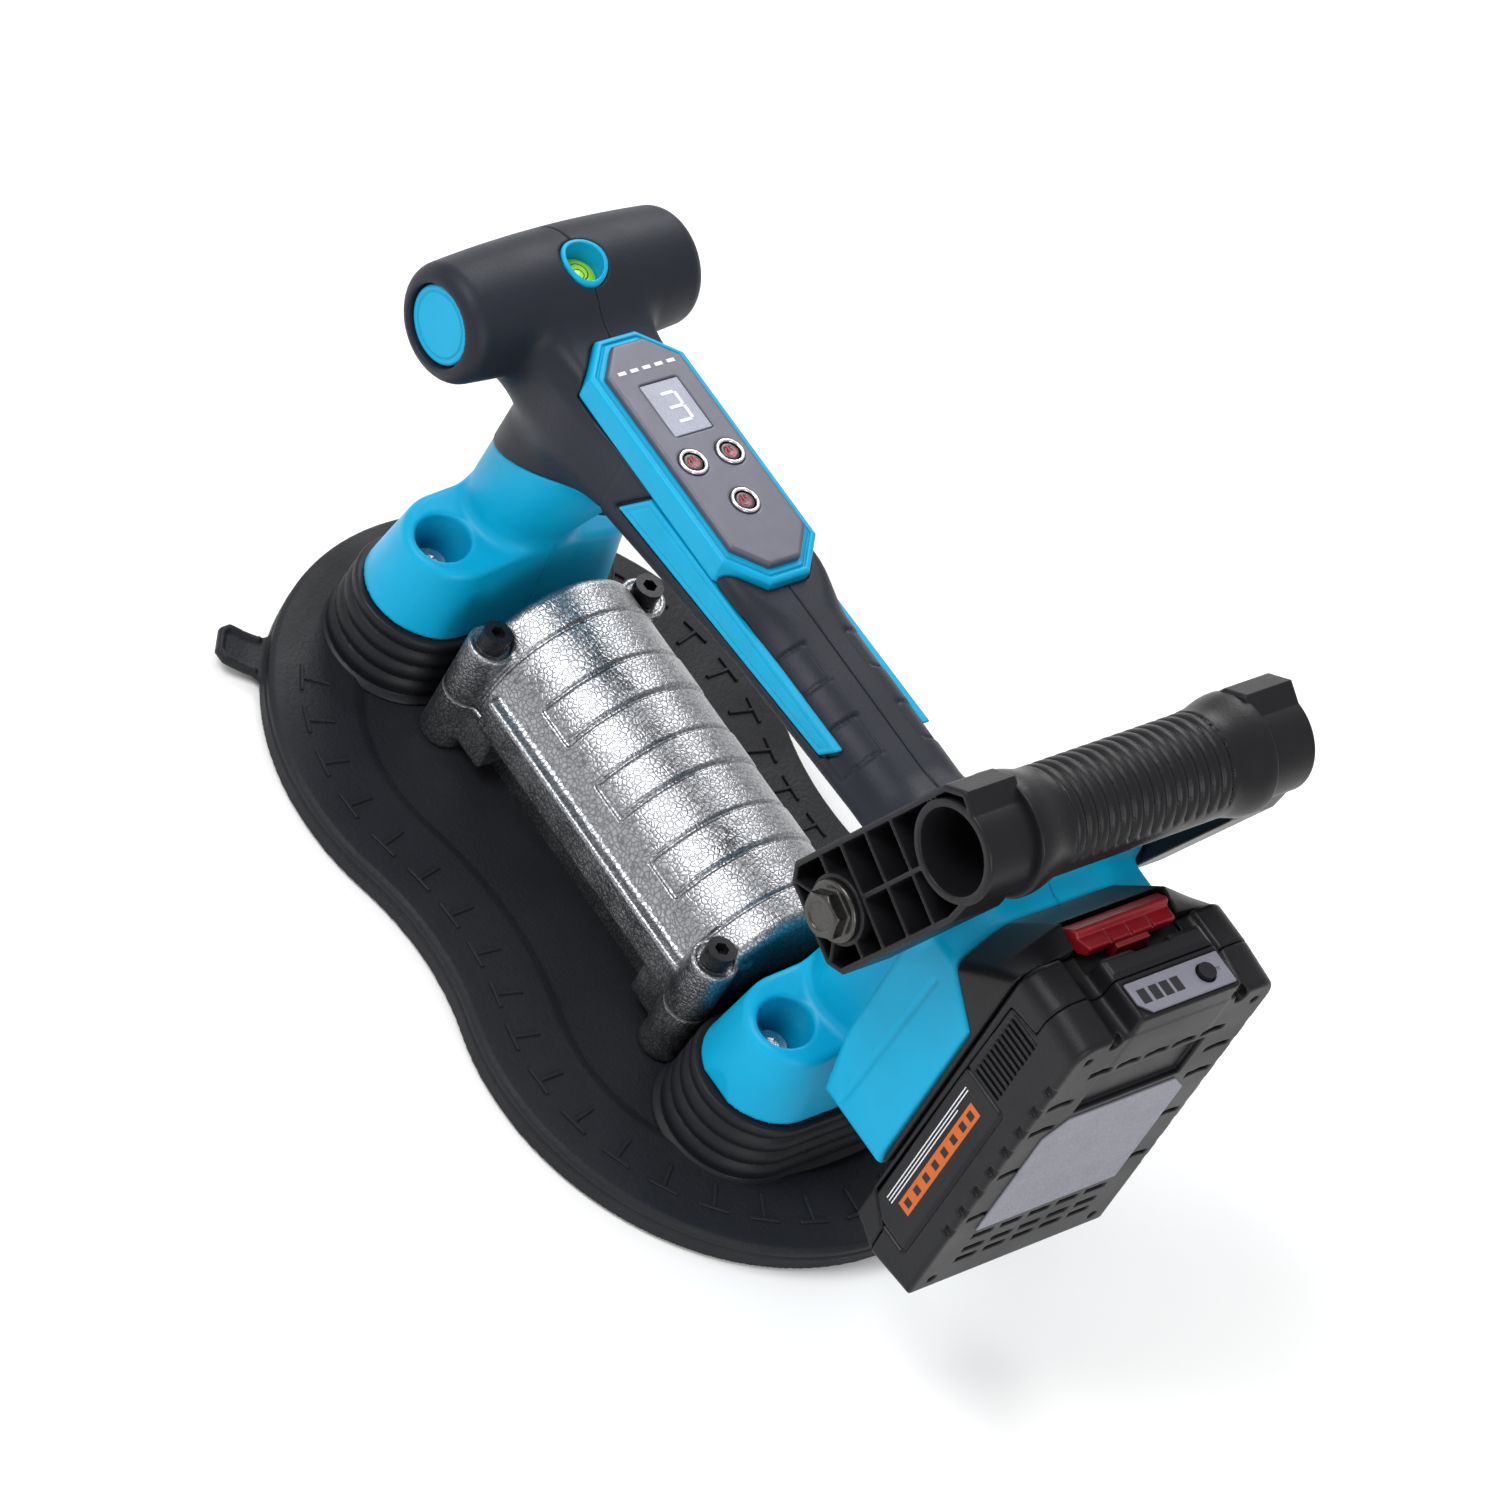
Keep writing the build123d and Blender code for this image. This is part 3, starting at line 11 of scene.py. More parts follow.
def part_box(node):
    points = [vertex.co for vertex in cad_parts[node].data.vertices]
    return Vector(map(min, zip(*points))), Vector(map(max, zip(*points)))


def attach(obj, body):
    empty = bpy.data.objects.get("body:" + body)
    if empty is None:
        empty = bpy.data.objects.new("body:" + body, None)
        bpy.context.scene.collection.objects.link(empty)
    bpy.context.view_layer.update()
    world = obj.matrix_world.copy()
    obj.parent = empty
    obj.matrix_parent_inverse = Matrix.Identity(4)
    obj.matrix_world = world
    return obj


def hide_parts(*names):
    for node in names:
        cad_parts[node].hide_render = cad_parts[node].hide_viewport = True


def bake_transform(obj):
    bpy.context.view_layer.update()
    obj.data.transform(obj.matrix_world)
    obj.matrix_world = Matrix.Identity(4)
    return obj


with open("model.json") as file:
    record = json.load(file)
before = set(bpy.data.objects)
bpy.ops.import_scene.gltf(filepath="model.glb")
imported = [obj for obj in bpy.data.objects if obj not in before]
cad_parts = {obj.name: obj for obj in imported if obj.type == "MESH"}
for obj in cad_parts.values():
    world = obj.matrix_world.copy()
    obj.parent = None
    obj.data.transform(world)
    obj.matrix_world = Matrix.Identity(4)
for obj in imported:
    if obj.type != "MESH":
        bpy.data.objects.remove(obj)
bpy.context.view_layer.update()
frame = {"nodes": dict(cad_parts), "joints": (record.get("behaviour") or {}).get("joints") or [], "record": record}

MM = 0.001
low_of = lambda node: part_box(node)[0] / MM
high_of = lambda node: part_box(node)[1] / MM


# ---------------------------------------------------------------- materials
MATERIALS = {}


def shader(name, color, roughness=0.5, metallic=0.0, **more):
    """A Principled material with its constants set on the shader itself."""
    material = bpy.data.materials.new(name)
    material.use_nodes = True
    main = material.node_tree.nodes["Principled BSDF"]
    main.inputs["Base Color"].default_value = (*color, 1)
    main.inputs["Roughness"].default_value = roughness
    main.inputs["Metallic"].default_value = metallic
    for key, value in more.items():
        main.inputs[key.replace("_", " ")].default_value = value
    return material, material.node_tree, main


def noise(tree, scale, detail=3.0, squeeze=None):
    """A noise texture in object space, in cycles per metre."""
    coords = tree.nodes.new("ShaderNodeTexCoord")
    out = coords.outputs["Object"]
    if squeeze:
        mapping = tree.nodes.new("ShaderNodeMapping")
        mapping.inputs["Scale"].default_value = squeeze
        tree.links.new(out, mapping.inputs["Vector"])
        out = mapping.outputs["Vector"]
    texture = tree.nodes.new("ShaderNodeTexNoise")
    texture.inputs["Scale"].default_value = scale
    texture.inputs["Detail"].default_value = detail
    tree.links.new(out, texture.inputs["Vector"])
    return texture


def ramp(tree, value, stops):
    """A colour ramp from a value, with (position, colour) stops."""
    node = tree.nodes.new("ShaderNodeValToRGB")
    while len(node.color_ramp.elements) < len(stops):
        node.color_ramp.elements.new(0.5)
    for element, (spot, color) in zip(node.color_ramp.elements, stops):
        element.position = spot
        element.color = (*color, 1) if len(color) == 3 else color
    tree.links.new(value, node.inputs["Fac"])
    return node.outputs["Color"]


def bump(tree, main, height, distance, strength=1.0, before=None):
    """Adds a bump of that distance, in metres, on top of an earlier one."""
    node = tree.nodes.new("ShaderNodeBump")
    node.inputs["Distance"].default_value = distance
    node.inputs["Strength"].default_value = strength
    tree.links.new(height, node.inputs["Height"])
    if before:
        tree.links.new(before, node.inputs["Normal"])
    tree.links.new(node.outputs["Normal"], main.inputs["Normal"])
    return node.outputs["Normal"]


def vary(tree, main, color, amount, scale):
    """Slow, small changes of colour over the surface."""
    texture = noise(tree, scale, 4.0)
    darker = tuple(c * (1 - amount) for c in color)
    lighter = tuple(min(1.0, c * (1 + amount)) for c in color)
    out = ramp(tree, texture.outputs["Fac"], [(0.35, darker), (0.65, lighter)])
    tree.links.new(out, main.inputs["Base Color"])


def moulded(name, color, roughness, grain=900.0, depth=0.00006, amount=0.05, rough_vary=0.08, **more):
    """Moulded plastic or rubber: fine grain in the surface, small changes of colour and gloss."""
    material, tree, main = shader(name, color, roughness, **more)
    vary(tree, main, color, amount, 60.0)
    fine = noise(tree, grain, 2.0)
    wide = noise(tree, 35.0, 5.0)
    rough = ramp(
        tree, wide.outputs["Fac"],
        [(0.3, (roughness - rough_vary,) * 3), (0.7, (roughness + rough_vary,) * 3)],
    )
    tree.links.new(rough, main.inputs["Roughness"])
    bump(tree, main, fine.outputs["Fac"], depth)
    MATERIALS[name] = material


def cast_lacquer():
    """Silver lacquer on a casting, dried into fine flakes with dark cracks between them."""
    material, tree, main = shader("cast_lacquer", (0.4, 0.41, 0.43), 0.34, 1.0)
    bend = noise(tree, 420.0, 3.0)
    mix = tree.nodes.new("ShaderNodeVectorMath")
    mix.operation = "MULTIPLY_ADD"
    mix.inputs[1].default_value = (0.0009, 0.0009, 0.0009)
    coords = tree.nodes.new("ShaderNodeTexCoord")
    tree.links.new(bend.outputs["Color"], mix.inputs[0])
    tree.links.new(coords.outputs["Object"], mix.inputs[2])
    flakes = tree.nodes.new("ShaderNodeTexVoronoi")
    flakes.feature = "DISTANCE_TO_EDGE"
    flakes.inputs["Scale"].default_value = 700.0
    tree.links.new(mix.outputs["Vector"], flakes.inputs["Vector"])
    tint = ramp(
        tree, flakes.outputs["Distance"],
        [(0.0, (0.16, 0.165, 0.175)), (0.1, (0.3, 0.305, 0.32)), (0.3, (0.39, 0.395, 0.41))],
    )
    tree.links.new(tint, main.inputs["Base Color"])
    wide = noise(tree, 90.0, 4.0)
    rough = ramp(tree, wide.outputs["Fac"], [(0.3, (0.28,) * 3), (0.7, (0.44,) * 3)])
    tree.links.new(rough, main.inputs["Roughness"])
    lift = ramp(tree, flakes.outputs["Distance"], [(0.0, (0.0,) * 3), (0.22, (1.0,) * 3)])
    first = bump(tree, main, lift, 0.00007, 0.8)
    bump(tree, main, bend.outputs["Fac"], 0.00013, 0.7, first)
    return material


def brushed(name, color, roughness, metallic, squeeze, depth=0.00002):
    """Brushed or turned metal: long fine lines."""
    material, tree, main = shader(name, color, roughness, metallic)
    lines = noise(tree, 800.0, 3.0, squeeze=squeeze)
    rough = ramp(
        tree, lines.outputs["Fac"],
        [(0.3, (roughness * 0.7,) * 3), (0.7, (min(1, roughness * 1.4),) * 3)],
    )
    tree.links.new(rough, main.inputs["Roughness"])
    vary(tree, main, color, 0.06, 150.0)
    bump(tree, main, lines.outputs["Fac"], depth)
    MATERIALS[name] = material


BLUE = (0.0, 0.31, 0.53)
CHARCOAL = (0.012, 0.0145, 0.022)
moulded("rubber_black", (0.009, 0.0095, 0.012), 0.5, 700, 0.00008, Specular_IOR_Level=0.2)
moulded("rubber_band", (0.011, 0.0115, 0.0145), 0.55, 900, 0.0002, 0.08, Specular_IOR_Level=0.2)
moulded("foam_black", (0.02, 0.02, 0.022), 0.9, 500, 0.0002)
brushed("plate_aluminium", (0.6, 0.61, 0.63), 0.35, 1.0, (1, 12, 1))
MATERIALS["cast_aluminium"] = cast_lacquer()
moulded("gasket_paper", (0.08, 0.08, 0.08), 0.8)
brushed("black_steel", (0.025, 0.025, 0.028), 0.32, 0.7, (1, 1, 1))
brushed("dark_steel", (0.07, 0.068, 0.066), 0.3, 0.9, (1, 1, 1))
brushed("bright_steel", (0.62, 0.62, 0.63), 0.25, 1.0, (1, 1, 6))
moulded("magnet", (0.07, 0.07, 0.075), 0.5)
brushed("brass", (0.72, 0.52, 0.22), 0.25, 1.0, (1, 1, 6))
brushed("copper", (0.72, 0.36, 0.2), 0.3, 1.0, (6, 1, 1))
moulded("grey_plastic", (0.2, 0.2, 0.21), 0.5)
moulded("blue_plastic", BLUE, 0.4, 1100, 0.00004, 0.03, Specular_IOR_Level=0.18)
moulded("overmould", CHARCOAL, 0.5, 1000, 0.00007, 0.06, Specular_IOR_Level=0.2)
moulded("black_plastic", (0.008, 0.008, 0.0095), 0.4, 1000, 0.00006, 0.06, Specular_IOR_Level=0.2)
moulded("red_plastic", (0.26, 0.006, 0.012), 0.36, 800, 0.00004, 0.05)
moulded("level_fluid", (0.35, 0.72, 0.03), 0.1, 200, 0.00001, 0.1)
brushed("overlay", (0.085, 0.085, 0.115), 0.4, 0.2, (1, 14, 1))
brushed("display", (0.22, 0.23, 0.3), 0.25, 0.0, (1, 4, 1))
brushed("chrome", (0.75, 0.75, 0.77), 0.14, 1.0, (1, 1, 4))
moulded("button", (0.035, 0.012, 0.016), 0.25)
moulded("board", (0.01, 0.12, 0.05), 0.4)
moulded("wire", (0.35, 0.02, 0.02), 0.4)
moulded("hose", (0.5, 0.5, 0.5), 0.4)
brushed("label_grey", (0.17, 0.17, 0.21), 0.42, 0.15, (1, 3, 1))
moulded("cell_wrap", (0.03, 0.16, 0.3), 0.35)
moulded("white_print", (0.7, 0.71, 0.76), 0.5)
moulded("orange_print", (0.5, 0.11, 0.02), 0.5, Specular_IOR_Level=0.2)
moulded("red_print", (0.5, 0.02, 0.05), 0.4)
moulded("dark_hole", (0.008, 0.008, 0.01), 0.7)
for part in frame["record"]["subparts"]:
    node = frame["nodes"][part["node"]]
    node.data.materials.clear()
    node.data.materials.append(MATERIALS[part["material_slot"]])


# ---------------------------------------------------------------- smooth solids, as distance fields in mm
def join(a, b, k=0.01):
    """Union of two distance fields, blended over k."""
    h = np.clip(0.5 + 0.5 * (b - a) / k, 0, 1)
    return b + (a - b) * h - k * h * (1 - h)


def cut(a, b, k=0.01):
    """a without b."""
    return -join(-a, b, k)


def corner(a, b, radius):
    """What a and b share, with a round edge where they meet."""
    p, q = a + radius, b + radius
    return np.minimum(np.maximum(p, q), 0) + np.hypot(np.maximum(p, 0), np.maximum(q, 0)) - radius


def press(a, region, depth):
    """Sinks (or raises, if depth is below 0) the surface of a by depth inside region."""
    if depth > 0:
        return np.maximum(a, np.minimum(a + depth, -region))
    return np.minimum(a, np.maximum(a + depth, region))


def between(value, low, high):
    return np.abs(value - (low + high) / 2) - (high - low) / 2


def block(p, x, y, z, radius=0.01):
    """A box from its (low, high) spans, with round edges."""
    return corner(corner(between(p[0], *x), between(p[1], *y), radius), between(p[2], *z), radius)


def bar(p, axis, centre, size, span, radius=0.01):
    """A round bar along an axis (0, 1, 2); centre is on the other two axes, in order."""
    others = [i for i in range(3) if i != axis]
    off = np.hypot(p[others[0]] - centre[0], p[others[1]] - centre[1])
    return corner(off - size, between(p[axis], *span), radius)


def polygon(u, v, points):
    """Signed distance to a closed outline of (u, v) points."""
    nearest = np.full(np.shape(u), 1e9)
    sign = np.ones(np.shape(u))
    for (ax, ay), (bx, by) in zip(points, points[-1:] + points[:-1]):
        ex, ey = bx - ax, by - ay
        wx, wy = u - ax, v - ay
        t = np.clip((wx * ex + wy * ey) / (ex * ex + ey * ey), 0, 1)
        nearest = np.minimum(nearest, (wx - ex * t) ** 2 + (wy - ey * t) ** 2)
        above, below, left = v >= ay, v < by, ex * wy > ey * wx
        sign = np.where((above & below & left) | (~above & ~below & ~left), -sign, sign)
    return sign * np.sqrt(nearest)


def octagon(x, half_width, cut_x, cut_y):
    """Outline in plan of a long plate with its four corners cut off; x is its (low, high) span."""
    far = half_width - cut_y
    upper = [(x[0], far), (x[0] + cut_x, half_width), (x[1] - cut_x, half_width), (x[1], far)]
    return upper + [(u, -v) for u, v in reversed(upper)]


def stadium(p, x, length, width):
    """Distance in plan to the slot outline across Y that is centred at x."""
    return np.hypot(p[0] - x, np.maximum(np.abs(p[1]) - (length - width) / 2, 0)) - width / 2


def surface(values, origin, step):
    """Corner points and four-sided faces of the zero surface of a grid of distances."""
    n = np.array(values.shape) - 1
    inside = values < 0
    total = [np.zeros(n, np.float32) for _ in range(3)]
    count = np.zeros(n, np.float32)
    crossings = []
    for axis in range(3):
        head = [slice(None)] * 3
        tail = [slice(None)] * 3
        head[axis], tail[axis] = slice(0, -1), slice(1, None)
        f0, f1 = values[tuple(head)], values[tuple(tail)]
        crossing = inside[tuple(head)] != inside[tuple(tail)]
        with np.errstate(divide="ignore", invalid="ignore"):
            t = np.where(crossing, f0 / (f0 - f1), 0).astype(np.float32)
        crossings.append(crossing)
        others = [i for i in range(3) if i != axis]
        for da in (0, 1):
            for db in (0, 1):
                pick = [slice(None)] * 3
                pick[others[0]] = slice(da, n[others[0]] + da)
                pick[others[1]] = slice(db, n[others[1]] + db)
                hit = crossing[tuple(pick)]
                count += hit
                total[axis] += hit * t[tuple(pick)]
                total[others[0]] += hit * np.float32(da)
                total[others[1]] += hit * np.float32(db)
    cells = np.argwhere(count > 0)
    where = tuple(cells.T)
    index = np.full(n, -1, np.int64)
    index[where] = np.arange(len(cells))
    share = np.stack([total[i][where] for i in range(3)], 1) / count[where][:, None]
    points = np.array(origin) + (cells + share) * np.array(step)
    faces = []
    for axis in range(3):
        a, b = [i for i in range(3) if i != axis]
        edge = np.argwhere(crossings[axis])
        edge = edge[(edge[:, a] > 0) & (edge[:, b] > 0) & (edge[:, a] < n[a]) & (edge[:, b] < n[b])]
        ring = []
        for da, db in ((1, 1), (0, 1), (0, 0), (1, 0)):
            cell = edge.copy()
            cell[:, a] -= da
            cell[:, b] -= db
            ring.append(index[tuple(cell.T)])
        quads = np.stack(ring, 1)
        flip = inside[tuple(edge.T)] if axis != 1 else ~inside[tuple(edge.T)]
        quads[~flip] = quads[~flip][:, ::-1]
        faces.append(quads)
    return points, np.concatenate(faces)


def add_piece(name, mesh, material, body, nodes, slot):
    """Links a mesh as a piece that rides on a body, and hides those CAD nodes."""
    mesh.materials.append(MATERIALS[material])
    piece = bpy.data.objects.new(name, mesh)
    bpy.context.collection.objects.link(piece)
    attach(piece, body)
    if nodes:
        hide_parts(*nodes)
    slot or material
    return piece


def quad_mesh(name, points, faces):
    """A smooth-shaded mesh from points in mm and four-sided faces."""
    mesh = bpy.data.meshes.new(name)
    mesh.vertices.add(len(points))
    mesh.vertices.foreach_set("co", (np.asarray(points) * MM).astype(np.float32).ravel())
    mesh.loops.add(faces.size)
    mesh.loops.foreach_set("vertex_index", faces.astype(np.int32).ravel())
    mesh.polygons.add(len(faces))
    mesh.polygons.foreach_set("loop_start", np.arange(0, faces.size, faces.shape[1], dtype=np.int32))
    mesh.update(calc_edges=True)
    mesh.validate()
    mesh.polygons.foreach_set("use_smooth", np.ones(len(mesh.polygons), bool))
    return mesh


def solid(name, shape, spans, step, material, body, nodes=(), slot=None):
    """A piece whose surface is where shape((x, y, z)) is 0, looked for inside the spans."""
    step = np.broadcast_to(np.array(step, float), 3)
    axes = [np.arange(low - 2.5 * s, high + 3 * s, s) for (low, high), s in zip(spans, step)]
    grid = np.meshgrid(*[a.astype(np.float32) for a in axes], indexing="ij")
    points, faces = surface(np.asarray(shape(grid), np.float32), [a[0] for a in axes], step)
    eps = 0.02
    for _ in range(3):
        value = shape(list(points.T))
        slope = np.stack([(shape(list((points + d).T)) - value) / eps for d in np.eye(3) * eps], 1)
        move = slope * (value / np.maximum((slope**2).sum(1), 0.05))[:, None]
        points = points - np.clip(move, -0.4 * step, 0.4 * step)
    return add_piece(name, quad_mesh(name, points, faces), material, body, nodes, slot)


def smooth_step(value, low, high):
    t = np.clip((value - low) / (high - low), 0, 1)
    return t * t * (3 - 2 * t)


# ---------------------------------------------------------------- anchors from the CAD, in mm
SIDES = ((-1, "left"), (1, "right"))


def on_side(side, low, high):
    """The (low, high) span in y that lies low to high from the mid plane, on one side."""
    return (-high, -low) if side < 0 else (low, high)


def middle(node):
    return (low_of(node) + high_of(node)) / 2


FRONT_X, REAR_X = middle("front_bellows").x, middle("rear_bellows").x
BAR = middle("bar_end_cap_left")
MOTOR_Z = middle("rotor_shaft").z
FOOT_Z = high_of("front_bellows").z
BASIN_Z = low_of("front_bellows").z
LEVEL = middle("level_vial")
joints = {joint["name"]: joint for joint in frame["joints"]}
PIVOT = Vector(joints["aux_handle_fold"]["pos_m"]) / MM
GRIP_TOP = low_of("panel_overlay").z


# ---------------------------------------------------------------- base
LOBE_R, LOBE_X, WAIST_Y, WAIST_R = 82.0, 50.0, 74.5, 88.4


def outline(p):
    """Distance in plan to the base's outline, below 0 inside."""
    centre = WAIST_Y + WAIST_R
    x, y = np.abs(p[0]), np.abs(p[1])
    at_waist = (x - LOBE_X) * centre + LOBE_X * y < 0
    return np.where(at_waist, WAIST_R - np.hypot(x, y - centre), np.hypot(x - LOBE_X, y) - LOBE_R)


TAB_ANGLE = math.radians(230)
TAB_HALF = [(70, 10), (81, 9), (85, 6.6), (94, 6.6), (96.6, 4)]
TAB = [(u, -v) for u, v in TAB_HALF] + TAB_HALF[::-1]


# the rubber's section: distance from the outline, below 0 inside, and height
RUBBER = [
    (-0.3, 1.2), (-0.3, 5.2), (-0.9, 5.7), (-0.9, 6.2), (-0.4, 6.7), (-0.5, 8.0), (-1.6, 9.0),
    (-4.0, 9.2), (-25.6, 9.2), (-27.6, 8.4), (-29.0, 7.7), (-150, 7.7), (-150, 5.0), (-9.0, 5.0),
    (-9.0, 1.2),
]


def skirt(p):
    inward = outline(p)
    body = polygon(inward, p[2], RUBBER) - 0.3
    # pull tab, turned up at its tip
    along = (p[0] + LOBE_X) * math.cos(TAB_ANGLE) + p[1] * math.sin(TAB_ANGLE)
    side = (p[0] + LOBE_X) * -math.sin(TAB_ANGLE) + p[1] * math.cos(TAB_ANGLE)
    lift = 1.6 * smooth_step(along, 86, 97)
    plate = polygon(along, side, TAB)
    tab = corner(plate, between(p[2], 2.6 + lift, 4.6 + lift), 0.7)
    rim = corner(np.abs(plate + 0.9) - 0.9, between(p[2], 3.0 + lift, 5.6 + lift), 0.6)
    rim = np.maximum(rim, 84 - along)
    body = join(body, join(tab, rim, 0.8), 1.5)
    for x in (FRONT_X, REAR_X):
        seat = stadium(p, x, 88.9, 42.9)
        body = cut(body, np.maximum(seat, BASIN_Z + 0.2 - p[2]), 0.3)
    return body


solid(
    "base_skirt", skirt, [(-134, 134), (-84, 84), (1, 11)], (0.8, 0.8, 0.35), "rubber_band", "base",
    ["suction_skirt"], "rubber_black",
)


def outline_points(inset):
    """Points, evenly spaced along the outline moved inwards by inset, as two mirrored halves."""
    reach = math.hypot(LOBE_X, WAIST_Y + WAIST_R)
    tangent = math.acos(LOBE_X / reach)
    points = []
    radius = LOBE_R - inset
    for a in np.linspace(-math.pi + tangent, math.pi - tangent, 400):
        points.append((LOBE_X + radius * math.cos(a), radius * math.sin(a)))
    sweep, waist = math.pi / 2 - tangent, WAIST_R + inset
    for a in np.linspace(-sweep, sweep, 200)[1:-1]:
        points.append((-waist * math.sin(a), WAIST_Y + WAIST_R - waist * math.cos(a)))
    half = np.array(points)
    return half, -half


marks = []
first, second = outline_points(14.0)
loop = np.concatenate([first, second])
loop = np.concatenate([loop, loop[:1]])
steps = np.hypot(*np.diff(loop, axis=0).T)
travelled = np.concatenate([[0], np.cumsum(steps)])
MARKS, MARK_Z = 44, 9.7
for i in range(MARKS):
    at = travelled[-1] * (i + 0.5) / MARKS
    spot = np.array([np.interp(at, travelled, loop[:, k]) for k in (0, 1)])
    ahead = np.array([np.interp((at + 0.5) % travelled[-1], travelled, loop[:, k]) for k in (0, 1)]) - spot
    ahead /= np.hypot(*ahead)
    marks.append((spot, ahead))


def soft_box(bm, centre, along, size, edge=0.25):
    """Adds a box with chamfered upper edges, turned so that its length lies along a direction in plan."""
    ax = np.array([along[0], along[1], 0.0])
    ay = np.array([-along[1], along[0], 0.0])
    rings = []
    for z, inset in ((-size[2] / 2, 0.0), (size[2] / 2 - edge, 0.0), (size[2] / 2, edge)):
        ring = []
        for sx, sy in ((-1, -1), (1, -1), (1, 1), (-1, 1)):
            spot = np.array(centre) + ax * sx * (size[0] / 2 - inset) + ay * sy * (size[1] / 2 - inset)
            ring.append(bm.verts.new(Vector((spot[0], spot[1], spot[2] + z)) * MM))
        rings.append(ring)
    bm.faces.new(rings[0][::-1])
    bm.faces.new(rings[-1])
    for lower, upper in zip(rings, rings[1:]):
        for i in range(4):
            bm.faces.new((lower[i], lower[(i + 1) % 4], upper[(i + 1) % 4], upper[i]))


def bm_piece(name, bm, material, body, slot=None):
    """Turns a bmesh into a flat-shaded piece that rides on a body."""
    bmesh.ops.recalc_face_normals(bm, faces=bm.faces)
    mesh = bpy.data.meshes.new(name)
    bm.to_mesh(mesh)
    bm.free()
    add_piece(name, mesh, material, body, (), slot)


bm = bmesh.new()
for spot, ahead in marks:
    outward = np.array([ahead[1], -ahead[0]])
    if min(stadium(spot, x, 100, 54) for x in (FRONT_X, REAR_X)) < 0:
        continue  # a foot stands there
    soft_box(bm, (spot[0], spot[1], MARK_Z), outward, (8.6, 1.1, 1.0))
    end = spot + outward * 4.3
    soft_box(bm, (end[0], end[1], MARK_Z), ahead, (9.0, 1.1, 1.0))
bm_piece("band_marks", bm, "rubber_band", "base", slot="rubber_black")


def bellows(x):
    """Ribbed rubber that widens towards the base, open through the middle."""

    def shape(p):
        height = (p[2] - BASIN_Z) / (FOOT_Z - BASIN_Z)
        wave = np.abs(np.sin(math.pi * (0.62 + 4.2 * height)))
        flare = 1.6 * np.clip(1 - height, 0, 1) + 1.5 * smooth_step(-height, -0.16, 0.0)
        reach = stadium(p, x, 84.6, 38.6) - flare - 1.5 * wave**0.7
        outer = corner(reach, between(p[2], BASIN_Z + 0.1, FOOT_Z - 0.1), 0.5)
        return cut(outer, stadium(p, x, 80.0, 34.0), 0.3)

    return shape


def float_blend(piece):
    """Takes a rubber piece off its body and leaves it where it stands in the world."""
    piece.parent = None
    piece.matrix_world = Matrix.Identity(4)
    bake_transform(piece)


for name, x in (("front_bellows", FRONT_X), ("rear_bellows", REAR_X)):
    step = (0.7, 0.7, 0.4)
    piece = solid(
        name + "_rubber", bellows(x), [(x - 23, x + 23), (-46, 46), (BASIN_Z, FOOT_Z)], step,
        "rubber_black", "base", [name],
    )
    float_blend(piece)


SCREW_Y = 27.5
SPRING_Z = (low_of("rubber_springs").z, high_of("rubber_springs").z)
HOSE_Z = (low_of("suction_hose").z, high_of("suction_hose").z)


def springs(p):
    """The four rubber springs the feet float on, each round its screw."""
    x = np.minimum(np.abs(p[0] - FRONT_X), np.abs(p[0] - REAR_X))
    off = np.hypot(x, np.abs(p[1]) - SCREW_Y)
    return cut(corner(off - 5.95, between(p[2], *SPRING_Z), 0.4), off - 3.05, 0.1)


def hose(p):
    """The short hose between the port and the pump."""
    off = np.hypot(p[0] - REAR_X, p[1])
    wide = middle("suction_hose").x - low_of("suction_hose").x
    return cut(corner(off - wide, between(p[2], *HOSE_Z), 0.3), off - wide + 1.6, 0.1)


spring_spans = [(FRONT_X - 8, REAR_X + 8), (-35, 35), SPRING_Z]
piece = solid(
    "spring_rubber", springs, spring_spans, (0.8, 0.8, 0.6), "rubber_black", "base",
    ["rubber_springs"],
)
float_blend(piece)
hose_spans = [(REAR_X - 8, REAR_X + 8), (-8, 8), HOSE_Z]
piece = solid("hose_rubber", hose, hose_spans, 0.5, "hose", "base", ["suction_hose"])
float_blend(piece)


# ---------------------------------------------------------------- motor housing
ARCH_R, ARCH_X = 30.0, (low_of("motor_upper_housing").x + 2.1, high_of("motor_upper_housing").x - 3.3)
BOSS_R, SCREW_HOLE_R = 7.0, 2.8
SCREW_X = (low_of("housing_screws").x + 4.3, high_of("housing_screws").x - 4.3)
BOSSES = sorted({(round(x, 1), y) for x in SCREW_X for y in (-28.0, 28.0)})
BOSS_TOP = high_of("housing_screws").z - 5.2
SEAM_Z = middle("housing_gasket").z
housing_x = (low_of("motor_lower_housing").x, high_of("motor_lower_housing").x)


def motor_room(body, p):
    """Takes the room for the motor, and for its bearings, out of the casting."""
    body = cut(body, bar(p, 0, (0, MOTOR_Z), 18.1, (-55, 44)), 0.2)
    return cut(body, bar(p, 0, (0, MOTOR_Z), 9.5, (-61, 50)), 0.2)


